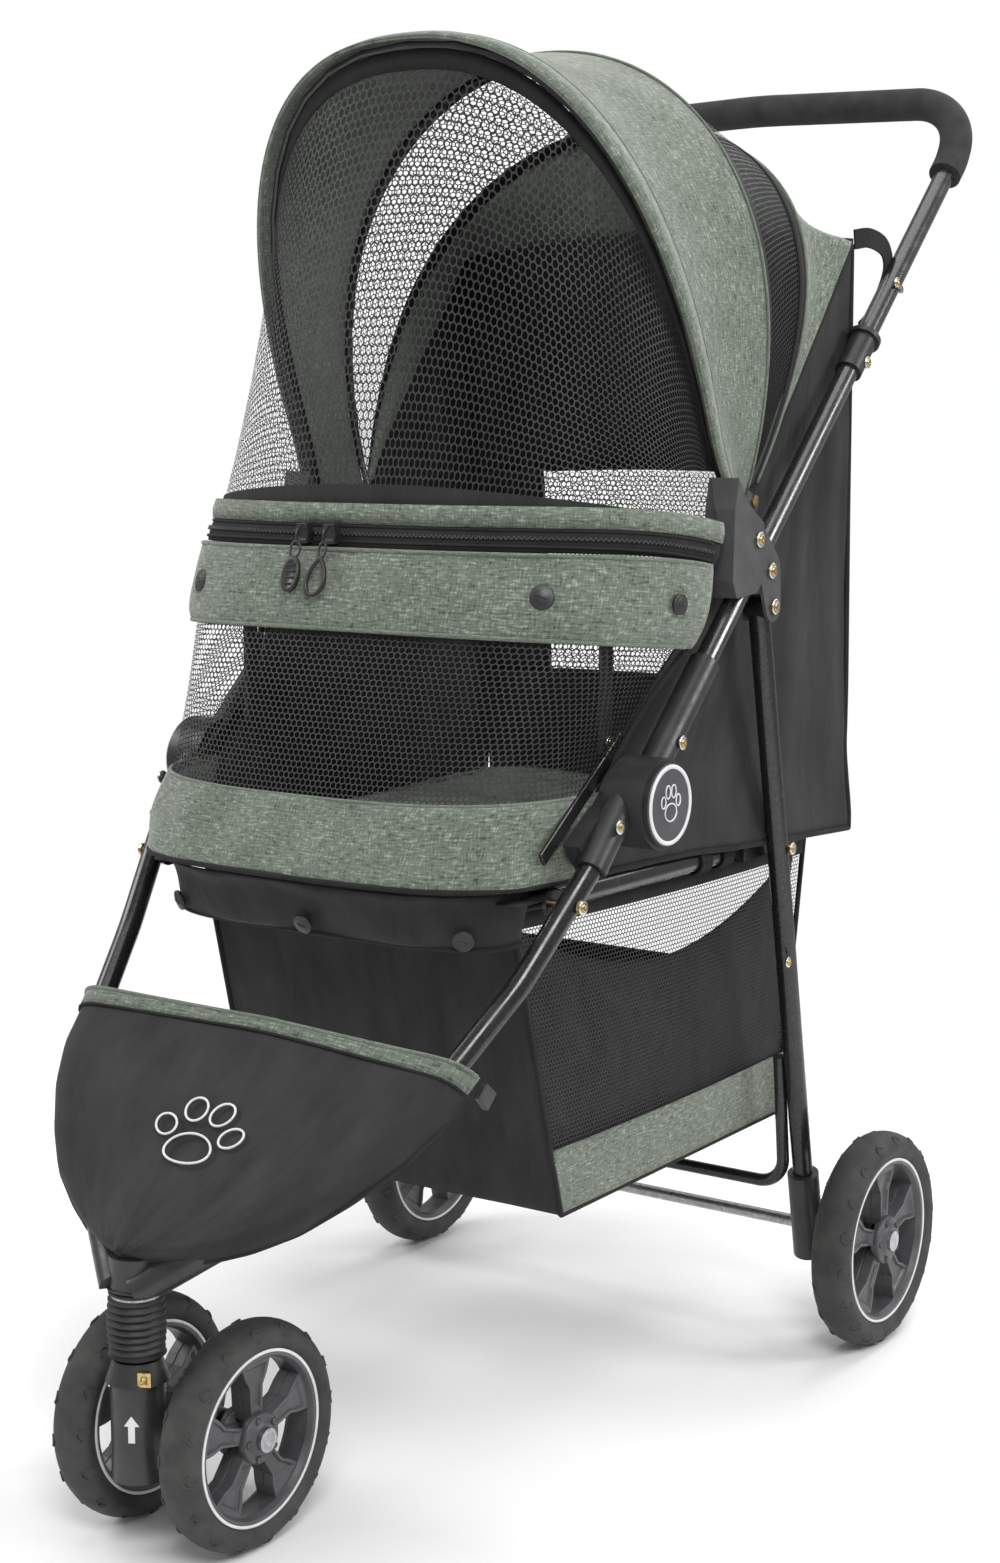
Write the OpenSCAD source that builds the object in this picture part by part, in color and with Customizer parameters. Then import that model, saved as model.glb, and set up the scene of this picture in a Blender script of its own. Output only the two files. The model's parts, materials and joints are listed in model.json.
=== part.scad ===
// Three-wheel folding pet stroller: tubular steel frame, fabric cabin, canopy and basket.
// Millimetres, +Z up, front towards -Y. The origin is on the floor under the middle of the frame.

/* [Wheels] */
// Diameter of the twin front tyres
front_wheel_d = 152; // [148:1:154]
// Width of a front tyre
front_wheel_w = 31; // [28:1:32]
// Distance between the middles of the two front wheels
front_track = 92; // [90:1:96]
// Diameter of the rear tyres
rear_wheel_d = 170; // [166:1:172]
// Width of a rear tyre
rear_wheel_w = 33; // [30:1:34]
// Distance between the middles of the two rear wheels
rear_track = 442; // [438:1:450]
// Diameter of both axles
axle_d = 10; // [9:0.5:11]
// Flared spokes in each wheel
spokes = 5; // [4:1:6]

/* [Frame] */
// Outside diameter of the frame tubes
tube_d = 16; // [15:0.5:16.5]
// Wall of the frame tubes
tube_wall = 1.4; // [1.2:0.1:1.8]
// Half the distance between the two upper tubes
frame_x = 192; // [191:0.5:193]
// Rise of the upper tubes above level, in degrees
tube_lean = 43.8; // [43.5:0.1:44]
// Outside diameter of the foam grip
grip_d = 26; // [24:1:28]
// Outside diameter of the plastic sleeves at the fold joint
sleeve_d = 22; // [21:0.5:23]
// Diameter of the round housing at the fold joint
housing_d = 63; // [61:1:64]

/* [Cabin and canopy] */
// Height of the cabin floor above the ground
floor_z = 420; // [419:0.5:422]
// Height of the front canopy hoop, along its own plane
hoop_h = 342; // [334:1:346]
// Thickness of the fabric panels
cloth = 2.5; // [2:0.5:3]

/* [Basket] */
// Half the width of the basket
basket_x = 145; // [140:1:146]
// Height of the basket floor's underside
basket_z = 176; // [172:1:180]

/* [Caster] */
// Diameter of the swivel stem
stem_d = 14; // [12:0.5:15]
// Travel of the front suspension
travel = 12; // [8:1:14]

/* [Hidden] */
$fn = 48;
tube_r = tube_d / 2;
bore_r = tube_r - tube_wall;
run = 0.05;                            // running clearance in the hinges, on the radius
front_axle = [0, -342, front_wheel_d / 2];
rear_axle = [0, 220, rear_wheel_d / 2];
stem_y = -395;                         // swivel axis, ahead of the front axle
fold_p = [-94, 474];                   // y and z of the main fold joint
leg_p = [66, 597];                     // y and z of the rear leg's pivot
hoop_p = [42, 646];                    // y and z of the front hoop's pivot
mid_p = [74, 672];                     // y and z of the middle hoop's pivot
link_front = [-171, 414];              // y and z of the side tube's front pivot
link_rear = [122, 411];                // y and z where the side bar meets the rear leg
rail_p = [28, 617];                    // y and z of the front rail's pivot
tube_o = [frame_x, -94, 483];          // a point on the upper tube's centre line, beside the fold joint
tube_u = [0, cos(tube_lean), sin(tube_lean)];
tube_end = 564;                        // seam between the upper tube and the handle, along the tube
button_s = 501;                        // handle button, along the tube
collar_s = 428;                        // middle of the tube collar, along the tube
housing_x = 180;                       // inner face of the fold housing
rivet_r = 3;

// ---- helpers ----
function unit(v) = v / norm(v);
function on_tube(s) = tube_o + s * tube_u;
function flip(p) = [-p.x, p.y, p.z];
function mirrored(pts) = [for (i = [len(pts) - 1 : -1 : 0]) flip(pts[i])];
// half the turn at b on the way from a through b to c
function half_turn(a, b, c) = (180 - acos(unit(a - b) * unit(c - b))) / 2;
function trim(pts, rads, i) = i == 0 || i == len(pts) - 1 ? 0
    : rads[i] * tan(half_turn(pts[i - 1], pts[i], pts[i + 1]));

module pair() {
    children();
    mirror([1, 0, 0]) children();
}
module rod(a, b, r) {
    v = b - a;
    translate(a) rotate([0, acos(v.z / norm(v)), atan2(v.y, v.x)]) cylinder(h = norm(v), r = r);
}
// a rod along X from x0 to x1 at p = [y, z]
module pin(x0, x1, p, r) translate([x0, p[0], p[1]]) rotate([0, 90, 0]) cylinder(h = x1 - x0, r = r);
// an outline in Y and Z, given thickness from x0 to x1
module plate(x0, x1) translate([x0, 0, 0]) rotate([90, 0, 90]) linear_extrude(x1 - x0) children();
module bend(a, b, c, bend_r, r) {
    ua = unit(a - b);
    uc = unit(c - b);
    turn = 2 * half_turn(a, b, c);
    o = b + unit(ua + uc) * bend_r / cos(turn / 2);
    reach = bend_r * tan(turn / 2);
    e1 = unit(b + ua * reach - o);
    e2 = unit(b + uc * reach - o);
    n = unit(cross(e1, e2));
    e3 = cross(n, e1);
    multmatrix([[e1.x, e3.x, n.x, o.x], [e1.y, e3.y, n.y, o.y], [e1.z, e3.z, n.z, o.z], [0, 0, 0, 1]])
        rotate_extrude(angle = turn) translate([bend_r, 0]) circle(r = r);
}
// the bends are a hair thicker than the straights, which run a little way into them
bend_more = 0.05;
bend_lap = 0.4;
module bent_rod(pts, rads, r) {
    last = len(pts) - 2;
    for (i = [0 : last]) {
        u = unit(pts[i + 1] - pts[i]);
        start = i == 0 ? 0 : trim(pts, rads, i) - bend_lap;
        end = i == last ? 0 : trim(pts, rads, i + 1) - bend_lap;
        rod(pts[i] + u * start, pts[i + 1] - u * end, r);
    }
    for (i = [1 : 1 : last]) bend(pts[i - 1], pts[i], pts[i + 1], rads[i], r + bend_more);
}
module bent_tube(pts, rads, r, inner) {
    n = len(pts) - 1;
    longer = [for (i = [0 : n]) i == 0 ? pts[0] + unit(pts[0] - pts[1])
        : i == n ? pts[n] + unit(pts[n] - pts[n - 1]) : pts[i]];
    difference() {
        bent_rod(pts, rads, r);
        bent_rod(longer, rads, inner);
    }
}
// a closed sheet between two grids of points with the same rows and columns
module sheet(outer, inner) {
    rows = len(outer);
    cols = len(outer[0]);
    half = rows * cols;
    pts = concat([for (row = outer) each row], [for (row = inner) each row]);
    function id(i, j, s) = s * half + i * cols + j;
    function quad(a, b, c, d) = [[a, b, c], [a, c, d]];
    skin = [for (i = [0 : rows - 2], j = [0 : cols - 2])
        each quad(id(i, j, 0), id(i, j + 1, 0), id(i + 1, j + 1, 0), id(i + 1, j, 0))];
    back = [for (i = [0 : rows - 2], j = [0 : cols - 2])
        each quad(id(i, j, 1), id(i + 1, j, 1), id(i + 1, j + 1, 1), id(i, j + 1, 1))];
    ends = [for (i = [0 : rows - 2]) each concat(
        quad(id(i, 0, 0), id(i + 1, 0, 0), id(i + 1, 0, 1), id(i, 0, 1)),
        quad(id(i, cols - 1, 0), id(i, cols - 1, 1), id(i + 1, cols - 1, 1), id(i + 1, cols - 1, 0)))];
    edges = [for (j = [0 : cols - 2]) each concat(
        quad(id(0, j, 0), id(0, j, 1), id(0, j + 1, 1), id(0, j + 1, 0)),
        quad(id(rows - 1, j, 0), id(rows - 1, j + 1, 0), id(rows - 1, j + 1, 1), id(rows - 1, j, 1)))];
    polyhedron(pts, concat(skin, back, ends, edges), 4);
}

// ---- wheels ----
module tyre(d, w, rim_d) {
    shoulder = w * 0.3;
    rotate([0, 90, 0]) rotate_extrude($fn = 72) polygon(concat(
        [[rim_d / 2, -w * 0.38], [d / 2 - shoulder, -w / 2]],
        [for (a = [-60 : 20 : 60]) [d / 2 - shoulder + shoulder * cos(a), w / 2 * sin(a) / sin(72)]],
        [[d / 2 - shoulder, w / 2], [rim_d / 2, w * 0.38]]));
}
module rim(d, w, hub_d) {
    inner = d / 2 - 7;
    spoke_w = d * 0.085;
    rotate([0, 90, 0]) difference() {
        union() {
            difference() {
                cylinder(h = w * 0.76, d = d, center = true, $fn = 72);
                cylinder(h = w, r = inner, center = true, $fn = 72);
            }
            cylinder(h = w * 0.9, d = hub_d, center = true);
            for (i = [0 : spokes - 1]) rotate([0, 0, i * 360 / spokes])
                linear_extrude(w * 0.42, center = true) polygon([[hub_d * 0.3, -spoke_w / 2],
                    [inner * 0.72, -spoke_w * 0.62], [inner + 2, -spoke_w * 1.25],
                    [inner + 2, spoke_w * 1.25], [inner * 0.72, spoke_w * 0.62],
                    [hub_d * 0.3, spoke_w / 2]]);
        }
        cylinder(h = 2 * w, r = axle_d / 2 + run, center = true);
    }
}
front_rim_d = front_wheel_d - 34;
rear_rim_d = rear_wheel_d - 38;
module front_wheel_at() translate([front_track / 2, front_axle.y, front_axle.z]) children();
module rear_wheel_at() translate([rear_track / 2, rear_axle.y, rear_axle.z]) children();
module front_tyre() front_wheel_at() tyre(front_wheel_d, front_wheel_w, front_rim_d);
module rear_tyre() rear_wheel_at() tyre(rear_wheel_d, rear_wheel_w, rear_rim_d);
module front_rim() front_wheel_at() rim(front_rim_d, front_wheel_w, 34);
module rear_rim() rear_wheel_at() rim(rear_rim_d, rear_wheel_w, 38);

// ---- handle and upper tubes ----
handle_low = on_tube(484);
handle_knee = on_tube(655);
handle_corner = [frame_x, 405, 985];
module upper_tube() {
    difference() {
        rod(on_tube(2), on_tube(tube_end), tube_r);
        rod(on_tube(1), on_tube(tube_end + 1), bore_r);
        translate(on_tube(button_s)) rotate([0, 90, 0]) cylinder(h = 30, r = 3 + run);
    }
}
module handle_tube() {
    half = [handle_low, handle_knee, handle_corner];
    path = concat(half, [[0, 406, 991]], mirrored(half));
    rads = [0, 50, 46, 600, 46, 50, 0];
    seam = on_tube(tube_end + 0.2);
    color("dimgray") difference() {
        bent_tube(path, rads, tube_r, bore_r - 1.2);
        pair() difference() {
            rod(on_tube(480), seam, tube_r + 1);
            rod(on_tube(479), on_tube(tube_end + 1), bore_r - run);
        }
        pair() translate(on_tube(button_s)) rotate([0, 90, 0]) cylinder(h = 30, r = 3 + run);
    }
}
module handle_grip() {
    half = [on_tube(637), handle_knee, handle_corner];
    path = concat(half, [[0, 406, 991]], mirrored(half));
    color("#222222") bent_tube(path, [0, 50, 46, 600, 46, 50, 0], grip_d / 2, tube_r);
}
module tube_collars() color("#303030") pair() difference() {
    union() {
        rod(on_tube(collar_s - 19), on_tube(collar_s + 19), tube_r + 2.5);
        rod(on_tube(collar_s + 15), on_tube(collar_s + 19), tube_r + 5);
    }
    rod(on_tube(collar_s - 20), on_tube(collar_s + 20), tube_r);
}
module handle_button() translate(on_tube(button_s)) rotate([0, 90, 0])
    translate([0, 0, bore_r - 2.4]) cylinder(h = tube_wall + 6, r = 3);

// ---- brackets at the middle of the upper tubes ----
bracket_in = 180;
bracket_out = 204;
module bracket_outline() {
    hull() {
        translate(hoop_p) circle(r = 12, $fn = 32);
        translate([61, 623]) circle(r = 15, $fn = 32);
    }
    hull() {
        translate([61, 623]) circle(r = 15, $fn = 32);
        translate(leg_p) circle(r = 11, $fn = 32);
    }
    polygon([[13, 690], [8, 668], [6, 618], [12, 606], [40, 608], [60, 623], [50, 658], [26, 672]]);
}
module bracket() difference() {
    union() {
        plate(bracket_out - 2.5, bracket_out) bracket_outline();
        plate(bracket_in, bracket_in + 2.5) union() {
            bracket_outline();
            polygon([[50, 655], [70, 640], [82, 672], [66, 680]]);
        }
        plate(bracket_in, bracket_out) polygon([[13, 690], [8, 668], [6, 618], [12, 606], [16, 606],
            [10.5, 620], [12.5, 668], [18, 684]]);
    }
    for (p = [hoop_p, [61, 623], leg_p]) pin(bracket_in - 1, bracket_out + 1, p, rivet_r);
    pin(bracket_in - 1, bracket_in + 4, mid_p, 2.5);
}

// ---- fold joint ----
module fold_housing() difference() {
    union() {
        pin(housing_x, 210, fold_p, housing_d / 2);
        rod(on_tube(2), on_tube(114), sleeve_d / 2);
    }
    rod(on_tube(1.9), on_tube(115), tube_r);
    pin(housing_x - 1, housing_x + 3.2, fold_p, 4);
}
module fold_caps() color("#3a3a3a") pair() difference() {
    pin(210, 213, fold_p, housing_d / 2 - 3);
    pin(212, 214, fold_p, housing_d / 2 - 7);
}
leg_top = [190, -104, 490];
leg_knee = [189, -152, 438];
leg_path = [leg_top, leg_knee, [171, -211, 366], [140, -304, 279], [44, -377, 210]];
leg_bends = [0, 120, 160, 120, 0];
module leg_sleeve() difference() {
    union() {
        rod(leg_top, leg_knee + 3 * unit(leg_knee - leg_top), sleeve_d / 2);
        plate(housing_x - 8, housing_x + 5) polygon([[-128, 474], [-112, 452], [-146, 433], [-162, 452]]);
        pin(housing_x - 8, housing_x - 0.4, fold_p, 24);
        plate(housing_x - 8, housing_x - 0.4) polygon([[-100, 497], [-75, 458], [-120, 445], [-140, 462]]);
    }
    rod(leg_top + unit(leg_top - leg_knee), leg_knee + 8 * unit(leg_knee - leg_top), tube_r);
    pin(housing_x - 0.4, housing_x + 30, fold_p, housing_d / 2 + 0.6);
    pin(housing_x - 9, housing_x, fold_p, 4 + run);
}
module front_leg() difference() {
    bent_tube(leg_path, leg_bends, tube_r, bore_r);
    pin(housing_x - 0.4, housing_x + 30, fold_p, housing_d / 2 + 0.6);
    pin(housing_x - 9, housing_x, fold_p, 26);
    pin(170, 200, link_front, rivet_r);
}

// ---- rivets ----
module rivet(x0, x1, p, r) {
    pin(x0, x1, p, r);
    pin(x1, x1 + 1.6, p, r * 1.7);
    pin(x0 - 1.6, x0, p, r * 1.7);
}
module frame_rivets() color("#b59b6a") pair() {
    for (p = [hoop_p, leg_p]) rivet(bracket_in, bracket_out, p, rivet_r);
    rivet(166, bracket_in + 2.5, mid_p, 2.5);
    for (x = [bracket_in, bracket_out - 2.5]) pin(x, x + 2.5, [61, 623], rivet_r);
    pin(bracket_out, bracket_out + 1.6, [61, 623], rivet_r * 1.7);
    pin(housing_x - 11, housing_x + 3, fold_p, 4);
    pin(housing_x - 12, housing_x - 8.6, fold_p, 7);
    pin(bracket_in - 5.5, bracket_in, rail_p, rivet_r);
}
module front_rivets() color("#b59b6a") pair() {
    rivet(168 - 0.2, 192, link_front, rivet_r);
}
module rear_rivets() color("#b59b6a") pair() {
    x = leg_x(link_rear[1]);
    pin(x, x + tube_r + 1, link_rear, rivet_r);
    pin(x + tube_r + 0.6, x + tube_r + 2.4, link_rear, rivet_r * 1.7);
}

// ---- front rail, flap and zip ----
// plan of a front panel: half width, back edge and front edge, with corner sharpness n
function bow(hw, y1, y0, z, n, steps = 24) = [for (i = [0 : steps]) let (t = 180 * i / steps)
    [hw * sign(cos(t)) * pow(abs(cos(t)), 2 / n), y1 - (y1 - y0) * pow(sin(t), 2 / n), z]];
module band(outer_hw, inner_hw, y1, y0_out, y0_in, z0, z1, n) {
    o = bow(outer_hw, y1, y0_out, 0, n, 32);
    i = bow(inner_hw, y1, y0_in, 0, n, 32);
    translate([0, 0, z0]) linear_extrude(z1 - z0)
        polygon(concat([for (p = o) [p.x, p.y]], [for (k = [len(i) - 1 : -1 : 0]) [i[k].x, i[k].y]]));
}
module front_rail() color("#1c1c1c") difference() {
    union() {
        band(175, 172, 40, -152, -149, 612, 622, 4.4);
        pair() translate([156, -93, 505]) cube([4, 12, 117]);
        pair() translate([158, -93, 612]) cube([8, 12, 3]);
    }
    pair() pin(170, 178, rail_p, rivet_r + run);
}
module front_flap() color("#7f8f82") sheet(
    [bow(199, -20, -177, 591, 3.2), bow(201, -12, -161, 643, 3.2)],
    [bow(199 - cloth, -20, -177 + cloth, 591, 3.2), bow(201 - cloth, -12, -161 + cloth, 643, 3.2)]);
// buttons stand 0.3 mm clear of the band's leaning, curved face
snap_d = 17;
module flap_snaps() color("#151515") pair() {
    translate([140, -157, 618]) rotate([73, 0, 22]) cylinder(h = 3.5, d = snap_d);
    translate([201.6, -66, 610]) rotate([0, 90, 0]) cylinder(h = 3, d = snap_d);
}
slider_x = 33;
pull_p = [-167.2, 645];                // y and z of the zip pulls' cross pins
pull_pin_r = 1;
module zipper() color("#161616") {
    band(199, 195, -10, -158, -154, 646, 659, 3.2);
    for (x = [-slider_x - 12, -slider_x + 12]) translate([x, 0, 0]) {
        translate([-4.5, -164.4, 648.5]) cube([9, 7.5, 7]);
        for (ear = [-4.5, 3]) translate([ear, pull_p[0] - 1.5, 643.5]) cube([1.5, 5, 9]);
        pin(-4.5, 4.5, pull_p, pull_pin_r);
    }
}
// a pull hangs from its slider's cross pin and leans out along the flap
module zip_pull(x) translate([x, pull_p[0], pull_p[1]]) rotate([-17, 0, 0]) difference() {
    union() {
        pin(-2.6, 2.6, [0, 0], 2.2);
        translate([-2.5, -0.8, -9]) cube([5, 1.6, 8]);
        hull() for (end = [[-8, 4], [-28, 6]])
            translate([0, 0.8, end[0]]) rotate([90, 0, 0]) cylinder(h = 1.6, r = end[1], $fn = 32);
    }
    pin(-4, 4, [0, 0], pull_pin_r + run);
}

// ---- cabin ----
// the cabin's side leans out a little to the back and top
function side_x(y, z) = 164 + 7 * min(1, max(0, (y + 100) / 200)) + 9 * (z - 410) / 456;
function side_row(zs, ys, t) = [for (i = [0 : len(ys) - 1]) [side_x(ys[i], zs[i]) - t, ys[i], zs[i]]];
// lower edge, then upper edge, of the side, from front to back
side_low = [[-128, 425], [-60, 425], [10, 425], [90, 425], [170, 425], [248, 425]];
side_high = [[-108, 462], [-52, 520], [12, 572], [90, 668], [150, 744], [226, 860]];
module side_panel() {
    function mixed(k) = [for (i = [0 : 5]) side_low[i] * (1 - k) + side_high[i] * k];
    function row(k, t) = side_row([for (p = mixed(k)) p[1]], [for (p = mixed(k)) p[0]], t);
    ks = [0, 0.33, 0.67, 1];
    sheet([for (k = ks) row(k, 0)], [for (k = ks) row(k, cloth)]);
}
module cabin_sides() color("#1a1a1a") pair() side_panel();
// half width, back edge, front edge, height and squareness of each row of the cabin's front
front_rows = [[165, -130, -245, 425, 3.4], [166, -112, -220, 475, 3.4], [176, -66, -198, 534, 3.4],
    [190, -26, -168, 591, 3.2], [192, -14, -153, 643, 3.2]];
function front_grid(t) = [for (r = front_rows) bow(r[0] - t, r[1], r[2] + t, r[3], r[4])];
module cabin_front() color("#6f7f72") sheet(front_grid(0), front_grid(cloth));
back_x = 166;
module cabin_back() color("#151515") plate(-back_x, back_x)
    polygon([[252, 408], [237, 668], [227, 862], [227 - cloth, 862], [237 - cloth, 668], [252 - cloth, 408]]);

// ---- canopy ----
// outline of a hoop: straight-sided below h0, then a rounded arch up to h
function arch(foot, hw, h0, h, n, steps = 28) = [for (i = [0 : steps]) let (
        t = -0.25 + 1.5 * i / steps,
        low = t < 0 ? -t / 0.25 : t > 1 ? (t - 1) / 0.25 : 0,
        a = 180 * min(1, max(0, t)),
        side = t < 0.5 ? 1 : -1)
    low > 0 ? [side * (hw - (hw - foot) * low * low), h0 * (1 - low)]
        : [hw * sign(cos(a)) * pow(abs(cos(a)), 2 / n), h0 + (h - h0) * pow(sin(a), 2 / n)]];
// an outline set up in the plane through [y, z], tilted forward by tilt degrees
function stood(outline, p, tilt) = [for (q = outline)
    [q[0], p[0] - q[1] * sin(tilt), p[1] + q[1] * cos(tilt)]];
hoop_base = [33, 670];
front_tilt = 22.5;
back_base = [78, 670];
back_tilt = -25.8;
function front_arch(t, h = hoop_h) = stood(arch(186 - t, 181 - t, 60, h - t, 2.4), hoop_base, front_tilt);
function mid_arch(t, h = 322) = stood(arch(168 - t, 187 - t, 115, h - t, 2.1), [74, 672], 0);
function back_arch(t, h = 314) = stood(arch(170 - t, 182 - t, 110, h - t, 2.2), back_base, back_tilt);
function mix(a, b, k) = [for (i = [0 : len(a) - 1]) a[i] * (1 - k) + b[i] * k];
// the fabric starts one point above each hoop's foot, clear of the rivets
function raised(row) = [for (i = [1 : len(row) - 2]) row[i]];
function panel(a, b, from, to) = [for (k = [0 : 3]) raised(mix(a, b, from + (to - from) * k / 3))];
function hood_grid(t) = panel(front_arch(-3.4 - t), mid_arch(-3.4 - t), 0, 0.96);
module canopy_front() color("#7f8f82") sheet(hood_grid(0), hood_grid(cloth));
function vent_grid(t) = panel(mid_arch(-3.4 - cloth + t), back_arch(-1.0 + t), 0.06, 0.94);
module canopy_mesh() color("#141414") sheet(vent_grid(0), vent_grid(cloth));
// the back panel runs from the back arch to the top of the cabin's sides and back wall
function roof_edge(t) = [for (i = [0 : 28]) let (u = i / 28, v = min(u, 1 - u) / 0.32, side = u < 0.5 ? 1 : -1)
    v < 1 ? [side * (side_x(84 + 142 * v, 676 + 186 * v) - t), 84 + 142 * v, 682 + 184 * v]
        : [(183 - t) * (1 - 2 * (u - 0.32) / 0.36), 228, 868 + 10 * sin(180 * (u - 0.32) / 0.36) - t]];
module canopy_back() color("#7f8f82") sheet(
    panel(back_arch(0), roof_edge(0), 0.02, 0.98), panel(back_arch(cloth), roof_edge(cloth), 0.02, 0.98));
hoop_wire = 2.5;
// a bent wire through pts, which lie in the plane through the X axis tilted forward by tilt degrees
module arch_wire(pts, tilt, r, sides = 8) {
    last = len(pts) - 1;
    across = [0, cos(tilt), sin(tilt)];
    rings = [for (i = [0 : last]) let (
            along = unit(pts[min(last, i + 1)] - pts[max(0, i - 1)]),
            out = cross(along, across))
        each [for (k = [0 : sides - 1]) pts[i] + r * (cos(k * 360 / sides) * across + sin(k * 360 / sides) * out)]];
    walls = [for (i = [0 : last - 1], k = [0 : sides - 1]) let (
            a = i * sides + k,
            b = i * sides + (k + 1) % sides)
        each [[a, b + sides, b], [a, a + sides, b + sides]]];
    polyhedron(rings, concat(walls, [[for (k = [0 : sides - 1]) k]],
        [[for (k = [sides - 1 : -1 : 0]) last * sides + k]]));
}
hoop_foot = [186, hoop_p[0], hoop_p[1] + 5];
module front_hoop() color("#222222") difference() {
    union() {
        arch_wire(concat([hoop_foot], front_arch(0), [flip(hoop_foot)]), front_tilt, hoop_wire);
        pair() pin(183.5, 188.5, hoop_p, 7);
    }
    pair() pin(182, 190, hoop_p, rivet_r + run);
}
module middle_hoop() color("#222222") difference() {
    union() {
        arch_wire(mid_arch(0), 0, hoop_wire);
        pair() pin(167, 171, mid_p, 6);
    }
    pair() pin(160, 175, mid_p, 2.5 + run);
}
// the mesh front ends above the brackets at each side
function door_arch(t) = [for (i = [4 : 24]) front_arch(3.2 + t)[i]];
function door_foot(t) = bow(196 - t, -2, -153 + t, 664, 3.0, 20);
function door_grid(t) = [for (k = [0 : 3]) mix(door_foot(t), door_arch(t), k / 3)];
module mesh_door() color("#1a1a1a") sheet(door_grid(0), door_grid(cloth));

// ---- crown, apron and caster ----
crown_z = 183;                         // underside of the crown, where the caster's flange runs
crown_h = 22;
crown_r = 17;
module front_crown() color("#262626") difference() {
    union() {
        translate([0, stem_y, crown_z]) cylinder(h = crown_h, r = crown_r);
        pair() rod([58, -366.4, 220], [8, -404.4, 184], tube_r + 3);
    }
    pair() rod([74, -354.2, 231.5], [44, -377, 210], tube_r);
    translate([0, stem_y, 170]) cylinder(h = 80, r = stem_d / 2 + run);
    translate([0, stem_y, crown_z - 40]) cylinder(h = 40, r = 40);
}
// the apron lies over the two front legs, in their plane, and is notched round the crown
apron_o = [0, -258, 319];
apron_slope = atan(0.92);
apron_lift = 11.6;
module apron() color("#181818") difference() {
    translate(apron_o) rotate([apron_slope, 0, 0]) translate([0, 0, apron_lift])
        linear_extrude(cloth) polygon(concat([[-166, 5]],
            [for (a = [0 : 10 : 180]) [-166 * cos(a) * (1 - 0.04 * sin(a)), -182 * pow(sin(a), 1.25)]],
            [[166, 5]]));
    translate([0, stem_y, crown_z - 20]) cylinder(h = 60, r = crown_r + 0.6);
}
module swivel_stem() color("#3a3a3a") translate([0, stem_y, 0]) {
    translate([0, 0, 58 + travel]) cylinder(h = 150 - travel, r = stem_d / 2);
    translate([0, 0, crown_z - 7]) cylinder(h = 6.4, r = 16);
    translate([0, 0, crown_z + crown_h + 0.6]) cylinder(h = 3, r = 11);
}
fork_r = 18;
module caster_fork() color("#242424") difference() {
    union() {
        translate([0, stem_y, 56]) cylinder(h = 66, r = fork_r);
        translate([0, stem_y, 122]) cylinder(h = 14, r1 = fork_r + 3, r2 = fork_r - 2);
        plate(-14, 14) polygon([[stem_y, 60], [front_axle.y + 4, 63], [front_axle.y + 4, 89], [stem_y, 118]]);
        pin(-26, 26, [front_axle.y, front_axle.z], 12);
    }
    translate([0, stem_y, 50]) cylinder(h = 80, r = stem_d / 2 + run);
    translate([0, stem_y, 122]) cylinder(h = 20, r = 13);
    pin(-40, 40, [front_axle.y, front_axle.z], axle_d / 2);
}
module spring_boot() color("#1b1b1b") translate([0, stem_y, 0]) difference() {
    union() {
        for (i = [0 : 6]) translate([0, 0, 137 + i * 5.4]) cylinder(h = 4, r1 = 19, r2 = 16.6);
        translate([0, 0, 136.4]) cylinder(h = 39, r = 16);
    }
    translate([0, 0, 130]) cylinder(h = 60, r = 14);
}
module fork_spring() color("silver") for (i = [0 : 8])
    translate([0, stem_y, 124 + i * 6]) rotate_extrude() translate([10.2, 0]) circle(r = 1.6);
module front_axle_pin() color("silver") union() {
    pin(-64, 64, [front_axle.y, front_axle.z], axle_d / 2);
    pair() pin(61, 64, [front_axle.y, front_axle.z], 8);
}

// ---- side tubes, floor and basket ----
side_x0 = 161;
module side_tubes() color("#2e2e2e") pair() difference() {
    union() {
        rod([side_x0, link_front[0] + 16, 413.8], [side_x0, 96, 411.3], tube_r);
        plate(168, 171) hull() {
            translate(link_front) circle(r = 9, $fn = 32);
            translate([link_front[0] + 30, 413.7]) circle(r = 7, $fn = 32);
        }
        translate([160, link_front[0] + 17, 407]) cube([9, 14, 13]);
        plate(168, 173) polygon([[84, 404], [226, 410], [230, 416], [224, 424], [84, 418.5]]);
        translate([160, 80, 405]) cube([9, 15, 13]);
    }
    pin(150, 180, link_front, rivet_r + run);
}
module floor_board() color("#3b3b3b") translate([-146, -180, floor_z]) cube([292, 408, 4]);
module cabin_pad() color("#74806f") translate([-143, -176, floor_z + 4.2]) cube([286, 400, 16]);
basket_side = [[-170, 396], [-110, basket_z], [211, basket_z], [258, 384], [120, 396]];
module basket() color("#161616") {
    wall = 3;
    difference() {
        plate(-basket_x, basket_x) polygon(basket_side);
        plate(wall - basket_x, basket_x - wall) polygon([[-168, 402], [-106, basket_z + wall],
            [207.5, basket_z + wall], [255.5, 402]]);
    }
}

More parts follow.
